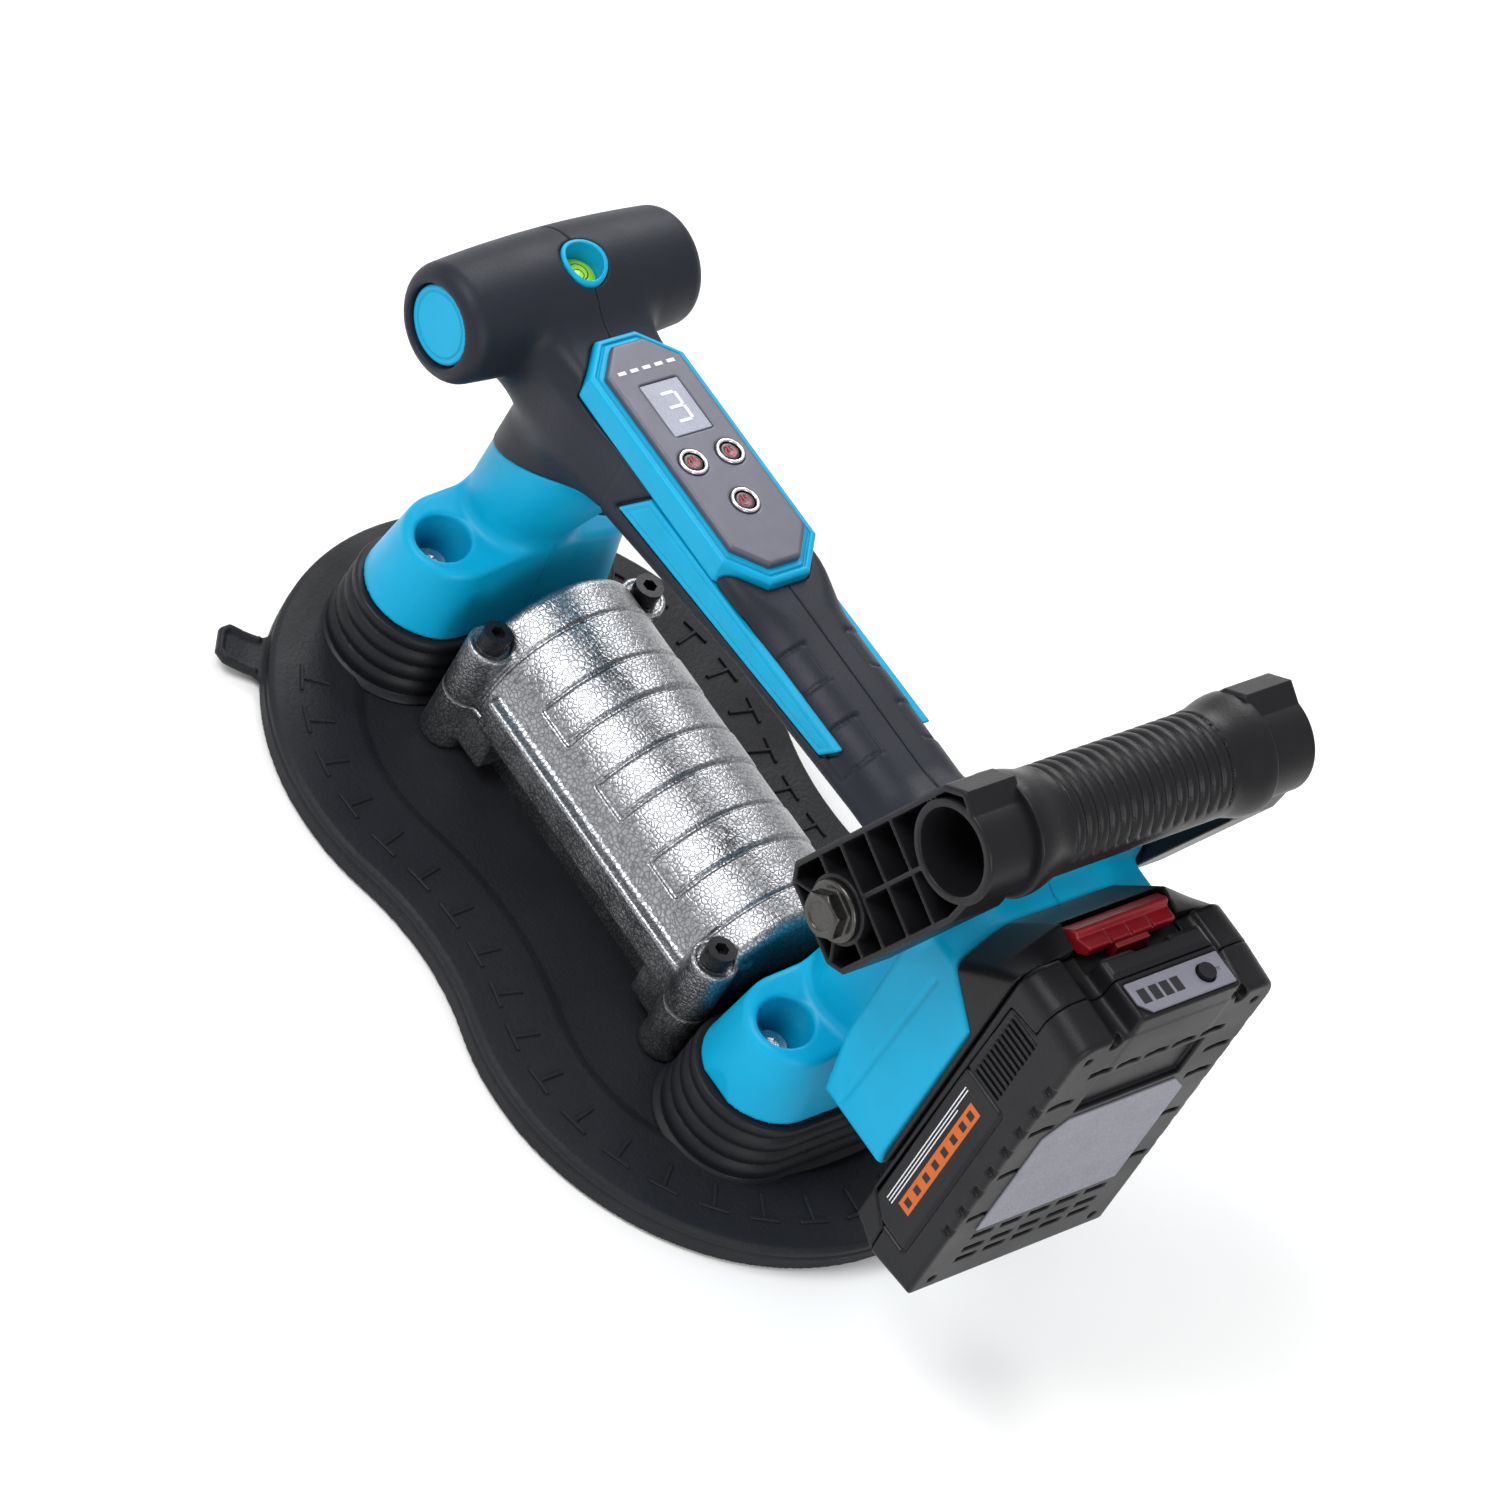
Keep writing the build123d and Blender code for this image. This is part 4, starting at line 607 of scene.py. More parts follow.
def upper_housing(p):
    turn = np.arctan2(np.abs(p[1]), p[2] - MOTOR_Z)
    off = np.hypot(p[1], p[2] - MOTOR_Z)
    body = corner(off - ARCH_R, between(p[0], *ARCH_X), 3.5)
    for x in (-54.0, 45.0):
        body = press(body, np.abs(p[0] - x) - 0.55, 0.7)
    flange = block(p, (ARCH_X[0] + 16.5, ARCH_X[1] - 7), (-33, 33), (SEAM_Z - 5, 38.5), 1.2)
    body = join(body, flange, 2.0)
    # raised pads, each with a groove round it
    for low, high in ((-38.0, -25.0), (-10.5, 2.0), (17.0, 30.0)):
        pad = corner(between(p[0], low, high), (turn - 1.02) * ARCH_R, 0.8)
        body = press(body, np.abs(pad) - 0.6, 0.75)
        body = press(body, pad + 0.9, -0.35)
    for x, y in BOSSES:
        side = 1 if y > 0 else -1
        web = block(p, (x - 4.5, x + 4.5), sorted((y, y - side * 12)), (SEAM_Z - 5, BOSS_TOP - 1.5), 1.0)
        body = join(body, web, 1.5)
        body = join(body, bar(p, 2, (x, y), BOSS_R, (SEAM_Z - 5, BOSS_TOP), 0.8), 1.6)
    for x, y in BOSSES:
        body = cut(body, bar(p, 2, (x, y), 5.4, (BOSS_TOP - 0.3, 80)), 0.6)
        body = cut(body, bar(p, 2, (x, y), SCREW_HOLE_R, (0, 80)), 0.4)
    return corner(motor_room(body, p), SEAM_Z + 0.1 - p[2], 0.5)


def lower_housing(p):
    body = block(p, (housing_x[0] + 4, housing_x[1] - 5), (-20, 20), (5, 40), 2.0)
    for x, y in BOSSES:
        side = 1 if y > 0 else -1
        body = join(body, block(p, (x - 4.5, x + 4.5), sorted((y, y - side * 12)), (10, 40), 1.0), 1.5)
        body = join(body, bar(p, 2, (x, y), BOSS_R, (BASIN_Z + 0.3, 40), 1.0), 1.5)
    for x in (-52.0, 43.0):
        body = join(body, block(p, (x - 8, x + 8), (-30, 30), (13, 40), 1.2), 1.2)
    for x, y in BOSSES:
        body = cut(body, bar(p, 2, (x, y), SCREW_HOLE_R, (0, 80)), 0.4)
    return corner(motor_room(body, p), p[2] - SEAM_Z + 0.1, 0.5)


solid(
    "motor_upper_cover", upper_housing, [(-70, 61), (-36, 36), (28, 62)], 0.5, "cast_aluminium",
    "base", ["motor_upper_housing"],
)
solid(
    "motor_lower_cover", lower_housing, [housing_x, (-36, 36), (5, 28)], 0.6, "cast_aluminium", "base",
    ["motor_lower_housing"],
)


# ---------------------------------------------------------------- handle frame
UNDER_X, UNDER_Z = (-62.0, 0.0, 55.0), (100.0, 108.0, 111.0)  # underside of the grip
SEAM_SLOPE, SEAM_X, SEAM_LOW = 0.565, -109.0, 78.0
COLUMN_R = 16.8
OVER_END = 69.0
PANEL = octagon((-96.5, -8.0), 17.3, 10.8, 10.3)
INLAY = [(-56.7, 111.8), (-49.0, 124.2), (43.0, 126.2), (38.4, 119.0)]
SLAB = [
    (106, 64), (133, 64), (133, 126), (118, 137.5), (114.5, 143.5), (106, 143.5), (101, 136.5),
    (102, 84),
]
WEB = [(80, 52), (106, 66), (106, 143.5), (95, 147), (78, 146), (70, 131), (68, 110), (66, 104)]


def foot(p, x):
    width = np.hypot(p[0] - x, np.maximum(np.abs(p[1]) - 23, 0))
    draft = 19.0 - 3.4 * np.clip((p[2] - FOOT_Z) / 22, 0, 1.2)
    top = 55.0 + 0.16 * (42 - np.abs(p[1]))
    return corner(corner((width - draft) * 0.985, (p[2] - top) * 0.985, 2.2), FOOT_Z + 0.1 - p[2], 0.5)


def recesses(p, x):
    y = np.abs(p[1])
    hole = np.hypot(p[0] - x, y - SCREW_Y)
    wide = np.maximum(hole - 7.8, between(p[2], 40, 85))
    return np.minimum(wide, np.maximum(hole - 3.0, p[2] - 45))


def handle(p):
    """The whole handle frame as one body, with soft fillets between its members."""
    x, y, z = p
    reach = np.hypot(x - BAR.x, z - BAR.z)
    belly = 19.0 - 2.1 * (y / 42.5) ** 2
    tee = corner(reach - belly, np.abs(y) - 42.4, 5.0)
    rise = np.clip((z - 66) / 38, 0, 1)
    spread = COLUMN_R + 6.9 * rise
    oval = np.sqrt(((x - (FRONT_X - 1 + 7 * rise)) / spread) ** 2 + (y / COLUMN_R) ** 2)
    front = corner((oval - 1) * COLUMN_R, between(z, 40, 122), 1.0)
    under = np.interp(x, UNDER_X, UNDER_Z)
    shoulder = 4.0 + 8.0 * smooth_step(x, -14, 6)
    grip = corner(np.abs(y) - 17.0, z - (GRIP_TOP - 2.0), shoulder)
    grip = corner(corner(grip, under - z, 9.0), between(x, -116, 84), 1.0)
    body = join(join(tee, front, 12.0), grip, 9.0)
    rear = bar(p, 2, (REAR_X, 0), COLUMN_R, (40, 128), 1.0)
    rear = join(rear, corner(polygon(x, z, WEB), np.abs(y) - 15.0, 2.0), 4.0)
    slab = corner(polygon(x, z, SLAB), np.abs(y) - 37.5, 2.5)
    slope = ((z - 143.5) + (np.abs(y) - 19.0) * 0.324) / 1.05
    slab = corner(slab, slope, 2.0)
    rear = join(rear, slab, 9.0)
    rear = join(rear, bar(p, 1, (PIVOT.x, PIVOT.z), 14.0, (-41, 41), 1.0), 5.0)
    body = join(body, rear, 8.0)
    for at in (FRONT_X, REAR_X):
        body = join(body, foot(p, at), 3.5)
    for at in (FRONT_X, REAR_X):
        body = cut(body, recesses(p, at), 1.2)
    # nothing of the blend may reach over the dock, the arms' inner faces or the shell's rear face
    return np.maximum(np.maximum(body, x - 133.0), np.abs(y) - np.where(x > 60, 41.0, 42.5))


def skin_region(p):
    """Below 0 where the handle's skin is overmould."""
    slant = (SEAM_LOW + SEAM_SLOPE * (p[0] - SEAM_X) - p[2]) * 0.87
    front = np.maximum(slant, p[0] + 62.0)
    back = np.maximum(-62.0 - p[0], 80 + 22 * smooth_step(p[0], 40, 58) - p[2])
    return np.maximum(np.minimum(front, back), p[0] - OVER_END - 0.1 * (p[2] - 110))


def half(side):
    """The space on one side of the mid plane, less half of the seam."""
    return lambda p: 0.05 - side * p[1]


def overmould(side):
    def shape(p):
        body = corner(handle(p), skin_region(p), 0.5)
        panel = polygon(p[0], p[1], PANEL)
        body = cut(body, np.maximum(panel - 0.25, 125 - p[2]), 0.4)
        inlay = np.maximum(polygon(p[0], p[2], INLAY) - 0.9, 15.6 - np.abs(p[1]))
        body = cut(body, inlay, 0.4)
        body = cut(body, bar(p, 2, (LEVEL.x, 0), 7.45, (124, 170)), 0.5)
        body = cut(body, bar(p, 1, (BAR.x, BAR.z), 12.1, on_side(side, 38.0, 60)), 0.5)
        for low, high in ((10.5, 23.5), (36.0, 49.0)):
            patch = corner(corner(between(p[0], low, high), 7.0 - np.abs(p[1]), 0.8), 120.5 - p[2], 0.8)
            body = press(body, np.abs(patch) - 0.35, 0.45)
            body = press(body, patch, 0.25)
        return corner(body, half(side)(p), 0.35)

    return shape


def shell(side):
    def shape(p):
        body = corner(handle(p) + 0.25, 0.12 - skin_region(p), 0.35)
        for z, x in ((73.0, 124.0), (121.0, 122.5), (44.0, 93.0), (66.0, -95.0)):
            if side > 0:
                reach = 37.5 if x > 100 else (35.0 if x > 0 else 16.8)
                body = cut(body, bar(p, 1, (x, z), 3.8, (reach - 4.0, 60)), 0.4)
        # upright groove on the rear block's side
        groove = np.maximum(np.abs(p[0] - (113.5 + 0.04 * (p[2] - 70))) - 0.5, between(p[2], 67, 128))
        body = press(body, np.maximum(groove, 30 - np.abs(p[1])), 0.6)
        return corner(body, half(side)(p), 0.35)

    return shape


for side, hand in SIDES:
    span_y = on_side(side, 0, 43)
    solid(
        f"overmould_skin_{hand}", overmould(side), [(-141, 74), span_y, (75, 143)], 0.75, "overmould",
        "handle", [f"overmould_{hand}"],
    )
    solid(
        f"frame_front_{hand}", shell(side), [(-115, -58), span_y, (32, 106)], 0.65, "blue_plastic",
        "handle", [f"handle_shell_{hand}"],
    )
    solid(f"frame_rear_{hand}", shell(side), [(58, 134), span_y, (32, 165)], 0.75, "blue_plastic", "handle")


# ---------------------------------------------------------------- auxiliary handle
ARM_RUN, ARM_RISE = 18, 49
TUBE = PIVOT + Vector((ARM_RUN, 0, ARM_RISE))
ARM_Y = (41.4, high_of("aux_handle").y)
ARM = [
    (-16.5, -9), (-12, -13.6), (11.5, -13.2), (15.9, -8.8), (16.2, 41),
    (13, 53.5), (8, 59.8), (-3, 65.4), (-12, 66.6), (-16.3, 59.5),
]  # fmt: skip
BORE_R, RING_PITCH = 11.9, 4.1


def arm(p):
    """One arm: a plate along the line from pivot to tube, with open cells between ribs on its outer face."""
    reach = math.hypot(ARM_RUN, ARM_RISE)
    forward, up = p[0] - PIVOT.x, p[2] - PIVOT.z
    along = (forward * ARM_RUN + up * ARM_RISE) / reach
    across = (forward * ARM_RISE - up * ARM_RUN) / reach
    y = np.abs(p[1])
    edge = np.minimum(polygon(across, along, ARM), np.hypot(across, along - reach) - 14.6)
    body = corner(edge, between(y, *ARM_Y), 1.0)
    spine = np.maximum(np.abs(across) - 0.7, 11 - along)
    ribs = np.minimum(np.abs(along - 11.4) - 0.55, np.abs(along - 22.6) - 0.5)
    ribs = np.minimum(ribs, np.abs(along - 34.0) - 0.5)
    ribs = np.minimum(ribs, np.maximum(np.abs(along - 1.8) - 0.5, 9 - np.abs(across)))
    ribs = np.minimum(ribs, np.abs(np.abs(across) - 9 - (-9 - along)) * 0.7 - 0.5 + 9 * (along > -7))
    solid_parts = np.minimum(np.minimum(spine, ribs), np.hypot(across, along) - 10.0)
    solid_parts = np.minimum(solid_parts, np.hypot(across, along - reach) - BORE_R - 2.3)
    cells = np.maximum(edge + 1.8, -solid_parts)
    body = cut(body, np.maximum(cells, 44 - y), 0.5)
    body = cut(body, bar(p, 1, (TUBE.x, TUBE.z), BORE_R, (-70, 70)), 0.5)
    return cut(body, bar(p, 1, (PIVOT.x, PIVOT.z), 4.1, (-70, 70)), 0.4)


def tube(p):
    """The ribbed tube; its ribs fade out into a smooth band along the front."""
    off_x, off_z = p[0] - TUBE.x, p[2] - TUBE.z
    radial = np.hypot(off_x, off_z)
    y = np.abs(p[1])
    wave = np.abs((y / RING_PITCH) % 1 - 0.5) * 2
    facing = (off_x * 0.79 - off_z * 0.61) / np.maximum(radial, 1)
    fade = (1 - smooth_step(facing, 0.62, 0.78)) * (y < 7 * RING_PITCH)
    size = 14.9 - 1.2 * np.abs(wave) ** 3 * fade + 2.1 * smooth_step(y, 30, 41.4)
    body = corner((radial - size) * 0.9, y - 43.0, 0.5)
    return cut(body, radial - BORE_R, 0.3)


for side, hand in SIDES:
    span_y = on_side(side, 41, 60)
    nodes = ["aux_handle"] if side < 0 else []
    solid(
        f"arm_cover_{hand}", arm, [(72, 128), span_y, (119, 206)], 0.55, "black_plastic", "aux_handle",
        nodes,
    )
tube_span = [(TUBE.x - 18, TUBE.x + 18), (-44, 44), (TUBE.z - 18, TUBE.z + 18)]
solid("tube_grip", tube, tube_span, (0.6, 0.5, 0.6), "black_plastic", "aux_handle")


def pivot_bolt(p):
    """A flanged bolt head on the arm's outer face, and the shank behind it."""
    y = np.abs(p[1])
    off_x, off_z = p[0] - PIVOT.x, p[2] - PIVOT.z
    off, turn = np.hypot(off_x, off_z), np.arctan2(off_z, off_x)
    hexagon = off * np.cos((turn + 0.3) % (math.pi / 3) - math.pi / 6) - 6.0
    flange = corner(off - 8.8, between(y, ARM_Y[1] + 0.05, ARM_Y[1] + 2.0), 0.8)
    head = corner(hexagon, between(y, ARM_Y[1] + 0.5, BOLT_END), 0.7)
    head = np.maximum(head, off + (y - BOLT_END) * 1.5 - 5.6)
    body = join(flange, head, 0.6)
    dish = corner(off - 4.0, BOLT_END - 0.5 - y, 0.3)
    shank = np.maximum(off - 3.9, between(y, 20, ARM_Y[1] + 1))
    return join(cut(body, dish, 0.3), shank, 0.2)


BOLT_END = high_of("pivot_bolts").y - 0.1
for side, hand in SIDES:
    span_y = on_side(side, 20, BOLT_END)
    nodes = ["pivot_bolts"] if side < 0 else []
    solid(
        f"pivot_bolt_{hand}", pivot_bolt, [(81, 102), span_y, (126, 148)], 0.4, "dark_steel", "handle",
        nodes, "black_steel",
    )


# ---------------------------------------------------------------- battery and its dock
FACE_X, BROW_TOP = 162.2, high_of("battery_lower_case").z
SIDE_Y, BROW_Y = 36.8, 18.4
CASE_GAP = 0.12  # between the two halves of the case, each way from the seam
GAUGE_X = 156
SECTION = [(135, 170), (135, 45.6), (146, 40.8), (FACE_X, 43), (FACE_X, 170)]
SEAM = [
    (149.7, 170), (148.5, 159), (148.3, 146), (138, 144.5), (137.5, 118), (136.5, 58), (145, 50.5),
    (146, 30), (180, 30), (180, 170),
]


def battery(p):
    """The whole battery: rounded block with a raised brow, a valley on each side of it."""
    x, y, z = p[0], np.abs(p[1]), p[2]
    profile = polygon(x, z, SECTION)
    top = 157.6 - 0.1 * np.maximum(x - 148, 0)
    across = corner(y - SIDE_Y, z - top, 7.0)
    body = corner(profile, across, 1.6)
    body = cut(body, bar([x, y, z], 0, (21.0, 158.6), 3.6, (100, 200)), 1.0)
    return join(body, block(p, (141.6, FACE_X), (-BROW_Y, BROW_Y), (140, BROW_TOP), 1.3), 0.8)


def slots(p, ys, z, half_y, half_z, slant=0.0):
    """Distance to a row of slots on the rear face, at +-y for every y."""
    off = np.min([np.abs(np.abs(p[1]) - y) for y in ys], axis=0)
    return np.maximum(off - half_y, np.abs(p[2] - z + slant * off) - half_z)


def lower_case(p):
    x, y, z = p[0], np.abs(p[1]), p[2]
    body = corner(battery(p), polygon(x, z, SEAM) + CASE_GAP, 0.35)
    deep = FACE_X - 1.8 - x
    face = slots(p, (0.0, 10.3, 20.7), 140.5, 4.0, 1.0, 0.15)
    for height in (129.5, 117.7, 98.0, 77.7):
        face = np.minimum(face, slots(p, (28.8,), height, 4.4, 0.9, 0.15))
    for height in (65.0, 58.6, 53.7):
        face = np.minimum(face, slots(p, (0.0, 10.5, 21.0), height, 3.7, 0.9))
    window = np.maximum(y - 19.5, between(z, 121, 137))
    face = np.minimum(face, window)
    body = cut(body, np.maximum(face, deep), 0.4)
    for at_y, at_z, size in ((23, 154, 2.2), (30.5, 149.5, 1.3), (30, 47.5, 1.4)):
        body = cut(body, bar([x, y, z], 0, (at_y, at_z), size, (FACE_X - 3, 180)), 0.3)
    # notches along the face's upright edges
    pitch = 9.3
    step = np.abs((z - 72 + pitch / 2) % pitch - pitch / 2) - 1.6
    near_edge = np.maximum(SIDE_Y - 1.3 - y, FACE_X - 2.5 - x)
    body = cut(body, np.maximum(np.maximum(step, between(z, 68, 141)), near_edge), 0.4)
    # raised border beside the label panel, and a groove along it
    panel = corner(between(x, 137, 154), between(z, 52, 117), 1.5)
    body = press(body, np.maximum(np.abs(panel) - 0.5, 30 - y), 0.6)
    # cooling slots
    pitch = 2.3
    vent = np.abs((z - 119 + pitch / 2) % pitch - pitch / 2) - 0.65
    near_side = np.maximum(between(x, 140, 150.3), 34.6 - y)
    body = cut(body, np.maximum(np.maximum(vent, between(z, 118, 144)), near_side), 0.3)
    gauge_hole = bar(p, 2, (GAUGE_X, 9.2), 3.0, (140, 180))
    gauge_bed = block(p, (150.4, 161.6), (-17.3, 17.3), (BROW_TOP - 0.5, 180), 0.4)
    body = cut(cut(body, gauge_bed, 0.3), gauge_hole, 0.3)
    return cut(body, block(p, (143.4, 159.4), (-34.6, 34.6), (43.2, 144.8)), 0.2)


def upper_case(p):
    x, y, z = p[0], np.abs(p[1]), p[2]
    body = corner(battery(p), CASE_GAP - polygon(x, z, SEAM), 0.35)
    body = press(body, np.maximum(block(p, (142.6, 147.6), (-17, 17), (150, 180)), 150 - z), -0.5)
    body = cut(body, block(p, (120, 143.2), (-6.6, 6.6), (145.5, 170)), 0.3)
    body = cut(body, block(p, (120, 141.3), (-18.6, 18.6), (154.0, 170)), 0.3)
    body = cut(body, block(p, (120, 138.1), (-20.4, 20.4), (20, 132.4)), 0.3)
    return cut(body, block(p, (138.0, 142.4), (-23.9, 23.9), (20, 132.4)), 0.3)


solid(
    "battery_rear_case", lower_case, [(134, 164), (-38, 38), (40, 164)], (0.6, 0.6, 0.5),
    "black_plastic", "battery", ["battery_lower_case"],
)
solid(
    "battery_front_case", upper_case, [(132, 152), (-38, 38), (40, 164)], (0.55, 0.7, 0.6),
    "black_plastic", "battery", ["battery_upper_case"],
)


# side view of the room the dock's plate and shoulder take up
DOCK = [(114.4, 143.4), (118, 137.4), (133.1, 126), (133.1, 68), (134.6, 68), (134.6, 170), (114.4, 170)]


def dock(p):
    x, y, z = p[0], np.abs(p[1]), p[2]
    crest = np.interp(x, (114.5, 127, 134.6), (143.5, 159.5, 157.8))
    edge = np.interp(x, (114.5, 118, 134.6), (136, 137.5, 153))
    top = crest + (edge - crest) * np.clip((y - 19) / 18.5, 0, 1)
    shoulder = corner((z - top) * 0.7, y - 37.4, 2.5)
    foot_line = polygon(x, z, DOCK)
    body = corner(shoulder, foot_line, 0.4)
    body = cut(body, block(p, (126, 150), (-18.7, 18.7), (149.5, 180)), 0.4)
    body = cut(body, block(p, (131.5, 150), (-6.6, 6.6), (144, 180)), 0.3)
    rails = np.minimum(
        block(p, (134.4, 142), (-20, 20), (72, 132)), block(p, (138.5, 142), (-23.5, 23.5), (72, 132)),
    )
    return np.minimum(body, rails)


solid(
    "dock_shoulder", dock, [(113, 142), (-38, 38), (67, 161)], 0.6, "black_plastic", "handle",
    ["battery_dock"],
)


RELEASE = [
    (127.1, 154.6), (127.1, 157.2), (130.2, 160.1), (131.4, 160.1), (132.4, 158.8), (136.4, 159.6),
    (136.9, 159), (136.9, 156.5), (134.4, 154.6),
]


def release(p):
    """The red push button across the top of the dock, with its grip grooves."""
    x, y, z = p[0], np.abs(p[1]), p[2]
    side = polygon(x, z, RELEASE)
    reach = np.interp(x, (127, 131, 137), (18.1, 17.0, 15.6))
    body = corner(side, y - reach, 0.5)
    groove = np.maximum(np.abs(np.minimum(y, np.abs(y - 7.5))) - 0.4, np.maximum(132.0 - x, 158.6 - z))
    body = cut(body, groove, 0.3)
    stem = np.minimum(
        block(p, (136.0, 138.5), (-6, 6), (146, 158)), block(p, (132.5, 137), (-6, 6), (146, 149)),
    )
    return np.minimum(body, stem)


solid(
    "release_bar", release, [(126, 139), (-19, 19), (145, 161)], 0.35, "red_plastic", "release_button",
    ["release_button"],
)
CELLS = [low_of("battery_cells").z + 9.1 + 19.2 * i for i in range(5)]


def cells(p):
    """The five cells that lie across the battery, slimmer than the CAD's to clear the rear face."""
    return np.minimum.reduce([bar(p, 1, (151.4, z), 7.8, (-32.5, 32.5), 0.6) for z in CELLS])


solid(
    "cell_bodies", cells, [(143, 160), (-33, 33), (CELLS[0] - 9, CELLS[-1] + 9)], (0.7, 1.2, 0.7),
    "cell_wrap", "battery", ["battery_cells"],
)
GAUGE = middle("gauge_button")


def gauge(p):
    plate = polygon(p[0], p[1], [(151, -16.8), (151, 16.8), (161, 16.8), (161, -13.5), (157.5, -16.8)])
    plate = corner(plate, between(p[2], BROW_TOP - 0.45, BROW_TOP + 0.55), 0.25)
    plate = cut(plate, bar(p, 2, (GAUGE_X, GAUGE.y), 3.0, (100, 200)), 0.2)
    line = np.maximum(np.abs(p[0] - GAUGE_X) - 0.5, between(p[1], 9, 14.5))
    return cut(plate, np.maximum(line, BROW_TOP - p[2]), 0.1)


solid(
    "gauge_label", gauge, [(150, 162), (-18, 18), (161, 164)], (0.3, 0.3, 0.2), "label_grey",
    "battery", ["gauge_plate"],
)
bm = bmesh.new()
for y in (-13.4, -9.2, -5.3, -1.4):
    soft_box(bm, (GAUGE_X, y, BROW_TOP + 0.55), (1, 0), (4.4, 2.9, 0.3), 0.08)
bm_piece("gauge_segments", bm, "dark_hole", "battery", slot="black_plastic")


def plate_on_face(p):
    edge = polygon(
        p[1], p[2], [(-26, 69), (26, 69), (26, 112), (19.5, 118.6), (-19.5, 118.6), (-26, 112)],
    )
    return corner(edge, between(p[0], FACE_X - 0.4, FACE_X + 0.5), 0.3)


solid(
    "rating_label", plate_on_face, [(161, 163.6), (-27, 27), (68, 120)], (0.25, 0.5, 0.5),
    "label_grey", "battery", ["rating_plate"],
)


def upright_box(bm, low, high):
    """Adds a plain box between two corners, in mm."""
    spots = [bm.verts.new(Vector(spot) * MM) for spot in itertools.product(*zip(low, high))]
    for ring in ((0, 1, 3, 2), (4, 6, 7, 5), (0, 4, 5, 1), (2, 3, 7, 6), (0, 2, 6, 4), (1, 5, 7, 3)):
        bm.faces.new([spots[i] for i in ring])


# marks on the battery's sides: an orange strip with dark windows, and thin lines beside it
for material, marks_xz in (
    ("orange_print", [(144.5, 149.0, 62.5, 110.0)]),
    (
        "white_print",
        [(140.6, 140.9, 60.0, 112.0), (141.6, 141.9, 60.0, 112.0), (142.6, 142.9, 60.0, 104.0)],
    ),
    ("dark_hole", [(145.6, 147.9, z, z + 2.6) for z in (64.5, 70.5, 76.5, 82.5, 88.5, 94.5, 100.5, 105.5)]),
):
    bm = bmesh.new()
    proud = 0.2 if material == "dark_hole" else 0.12
    for x0, x1, z0, z1 in marks_xz:
        for side in (-1, 1):
            inner, outer = side * (SIDE_Y - 0.1), side * (SIDE_Y + proud)
            upright_box(bm, (x0, min(inner, outer), z0), (x1, max(inner, outer), z1))
    bm_piece(f"side_marks_{material}", bm, material, "battery", slot="label_grey")


# ---------------------------------------------------------------- control panel and level
OVERLAY_TOP = high_of("panel_overlay").z
OVERLAY_LOW = OVERLAY_TOP - 2.9
OVERLAY = octagon((-92.0, -12.5), 13.6, 8.6, 8.0)
BUTTONS = [(name, middle(name)) for name in ("level_button", "suction_button", "power_button")]
WINDOW = (-68.0, 0.5, 8.75, 6.35)


def button_holes(body, p, size, floor):
    for _, spot in BUTTONS:
        body = cut(body, bar(p, 2, (spot.x, spot.y), size, (floor, 180)), 0.3)
    return body


def panel_rim(p):
    rim = polygon(p[0], p[1], PANEL)
    body = corner(rim, between(p[2], 125.1, OVERLAY_TOP - 2.2), 1.4)
    body = press(body, np.maximum(np.abs(rim + 2.3) - 0.35, 128 - p[2]), 0.6)
    inner = polygon(p[0], p[1], OVERLAY) + 1.6
    return cut(body, np.maximum(inner, 126.2 - p[2]), 0.3)


def overlay(p):
    shape = polygon(p[0], p[1], OVERLAY)
    body = corner(shape, between(p[2], OVERLAY_LOW, OVERLAY_TOP), 0.8)
    window = corner(
        np.abs(p[0] - WINDOW[0]) - WINDOW[2] - 0.7, np.abs(p[1] - WINDOW[1]) - WINDOW[3] - 0.7, 1.0,
    )
    body = cut(body, np.maximum(window, OVERLAY_TOP - 0.7 - p[2]), 0.2)
    return button_holes(body, p, 4.5, 100)


solid(
    "panel_rim", panel_rim, [(-98, -7), (-18, 18), (124, 135)], (0.45, 0.45, 0.35), "blue_plastic",
    "handle", ["panel_frame"],
)
solid(
    "panel_face", overlay, [(-93, -11), (-14, 14), (132, 137)], (0.45, 0.45, 0.3), "overlay", "handle",
    ["panel_overlay"],
)


def ring(p):
    height = between(p[2], OVERLAY_LOW, OVERLAY_TOP + 0.7)
    offs = [np.hypot(p[0] - spot.x, p[1] - spot.y) for _, spot in BUTTONS]
    return np.minimum.reduce([corner(np.abs(off - 3.8) - 0.55, height, 0.45) for off in offs])


solid(
    "button_bezels", ring, [(-55, -28), (-12, 12), (132.5, 137.5)], 0.22, "chrome", "handle",
    ["button_rings"],
)
for name, spot in BUTTONS:
    def cap(p):
        off = np.hypot(p[0] - spot.x, p[1] - spot.y)
        body = corner(off - 2.95, between(p[2], low_of(name).z, OVERLAY_TOP + 0.25), 0.5)
        return np.maximum(body, -(np.hypot(off, p[2] - OVERLAY_TOP - 9.3) - 9.2))

    def icon(p):
        off = np.hypot(p[0] - spot.x, p[1] - spot.y)
        gap = np.maximum(np.abs(p[1] - spot.y) - 0.7, p[0] - spot.x)
        circle = np.maximum(np.abs(off - 1.35) - 0.2, -gap)
        stroke = np.maximum(np.abs(p[1] - spot.y) - 0.2, np.abs(p[0] - spot.x + 1.1) - 0.9)
        return corner(np.minimum(circle, stroke), between(p[2], OVERLAY_TOP - 0.1, OVERLAY_TOP + 0.3), 0.05)

    around = [(spot.x - 3.2, spot.x + 3.2), (spot.y - 3.2, spot.y + 3.2)]
    solid(f"{name}_cap", cap, [*around, (low_of(name).z, 137)], 0.3, "button", name, [name])
    solid(f"{name}_icon", icon, [*around, (135.6, 136.6)], 0.12, "red_print", name, slot="button")
bm = bmesh.new()
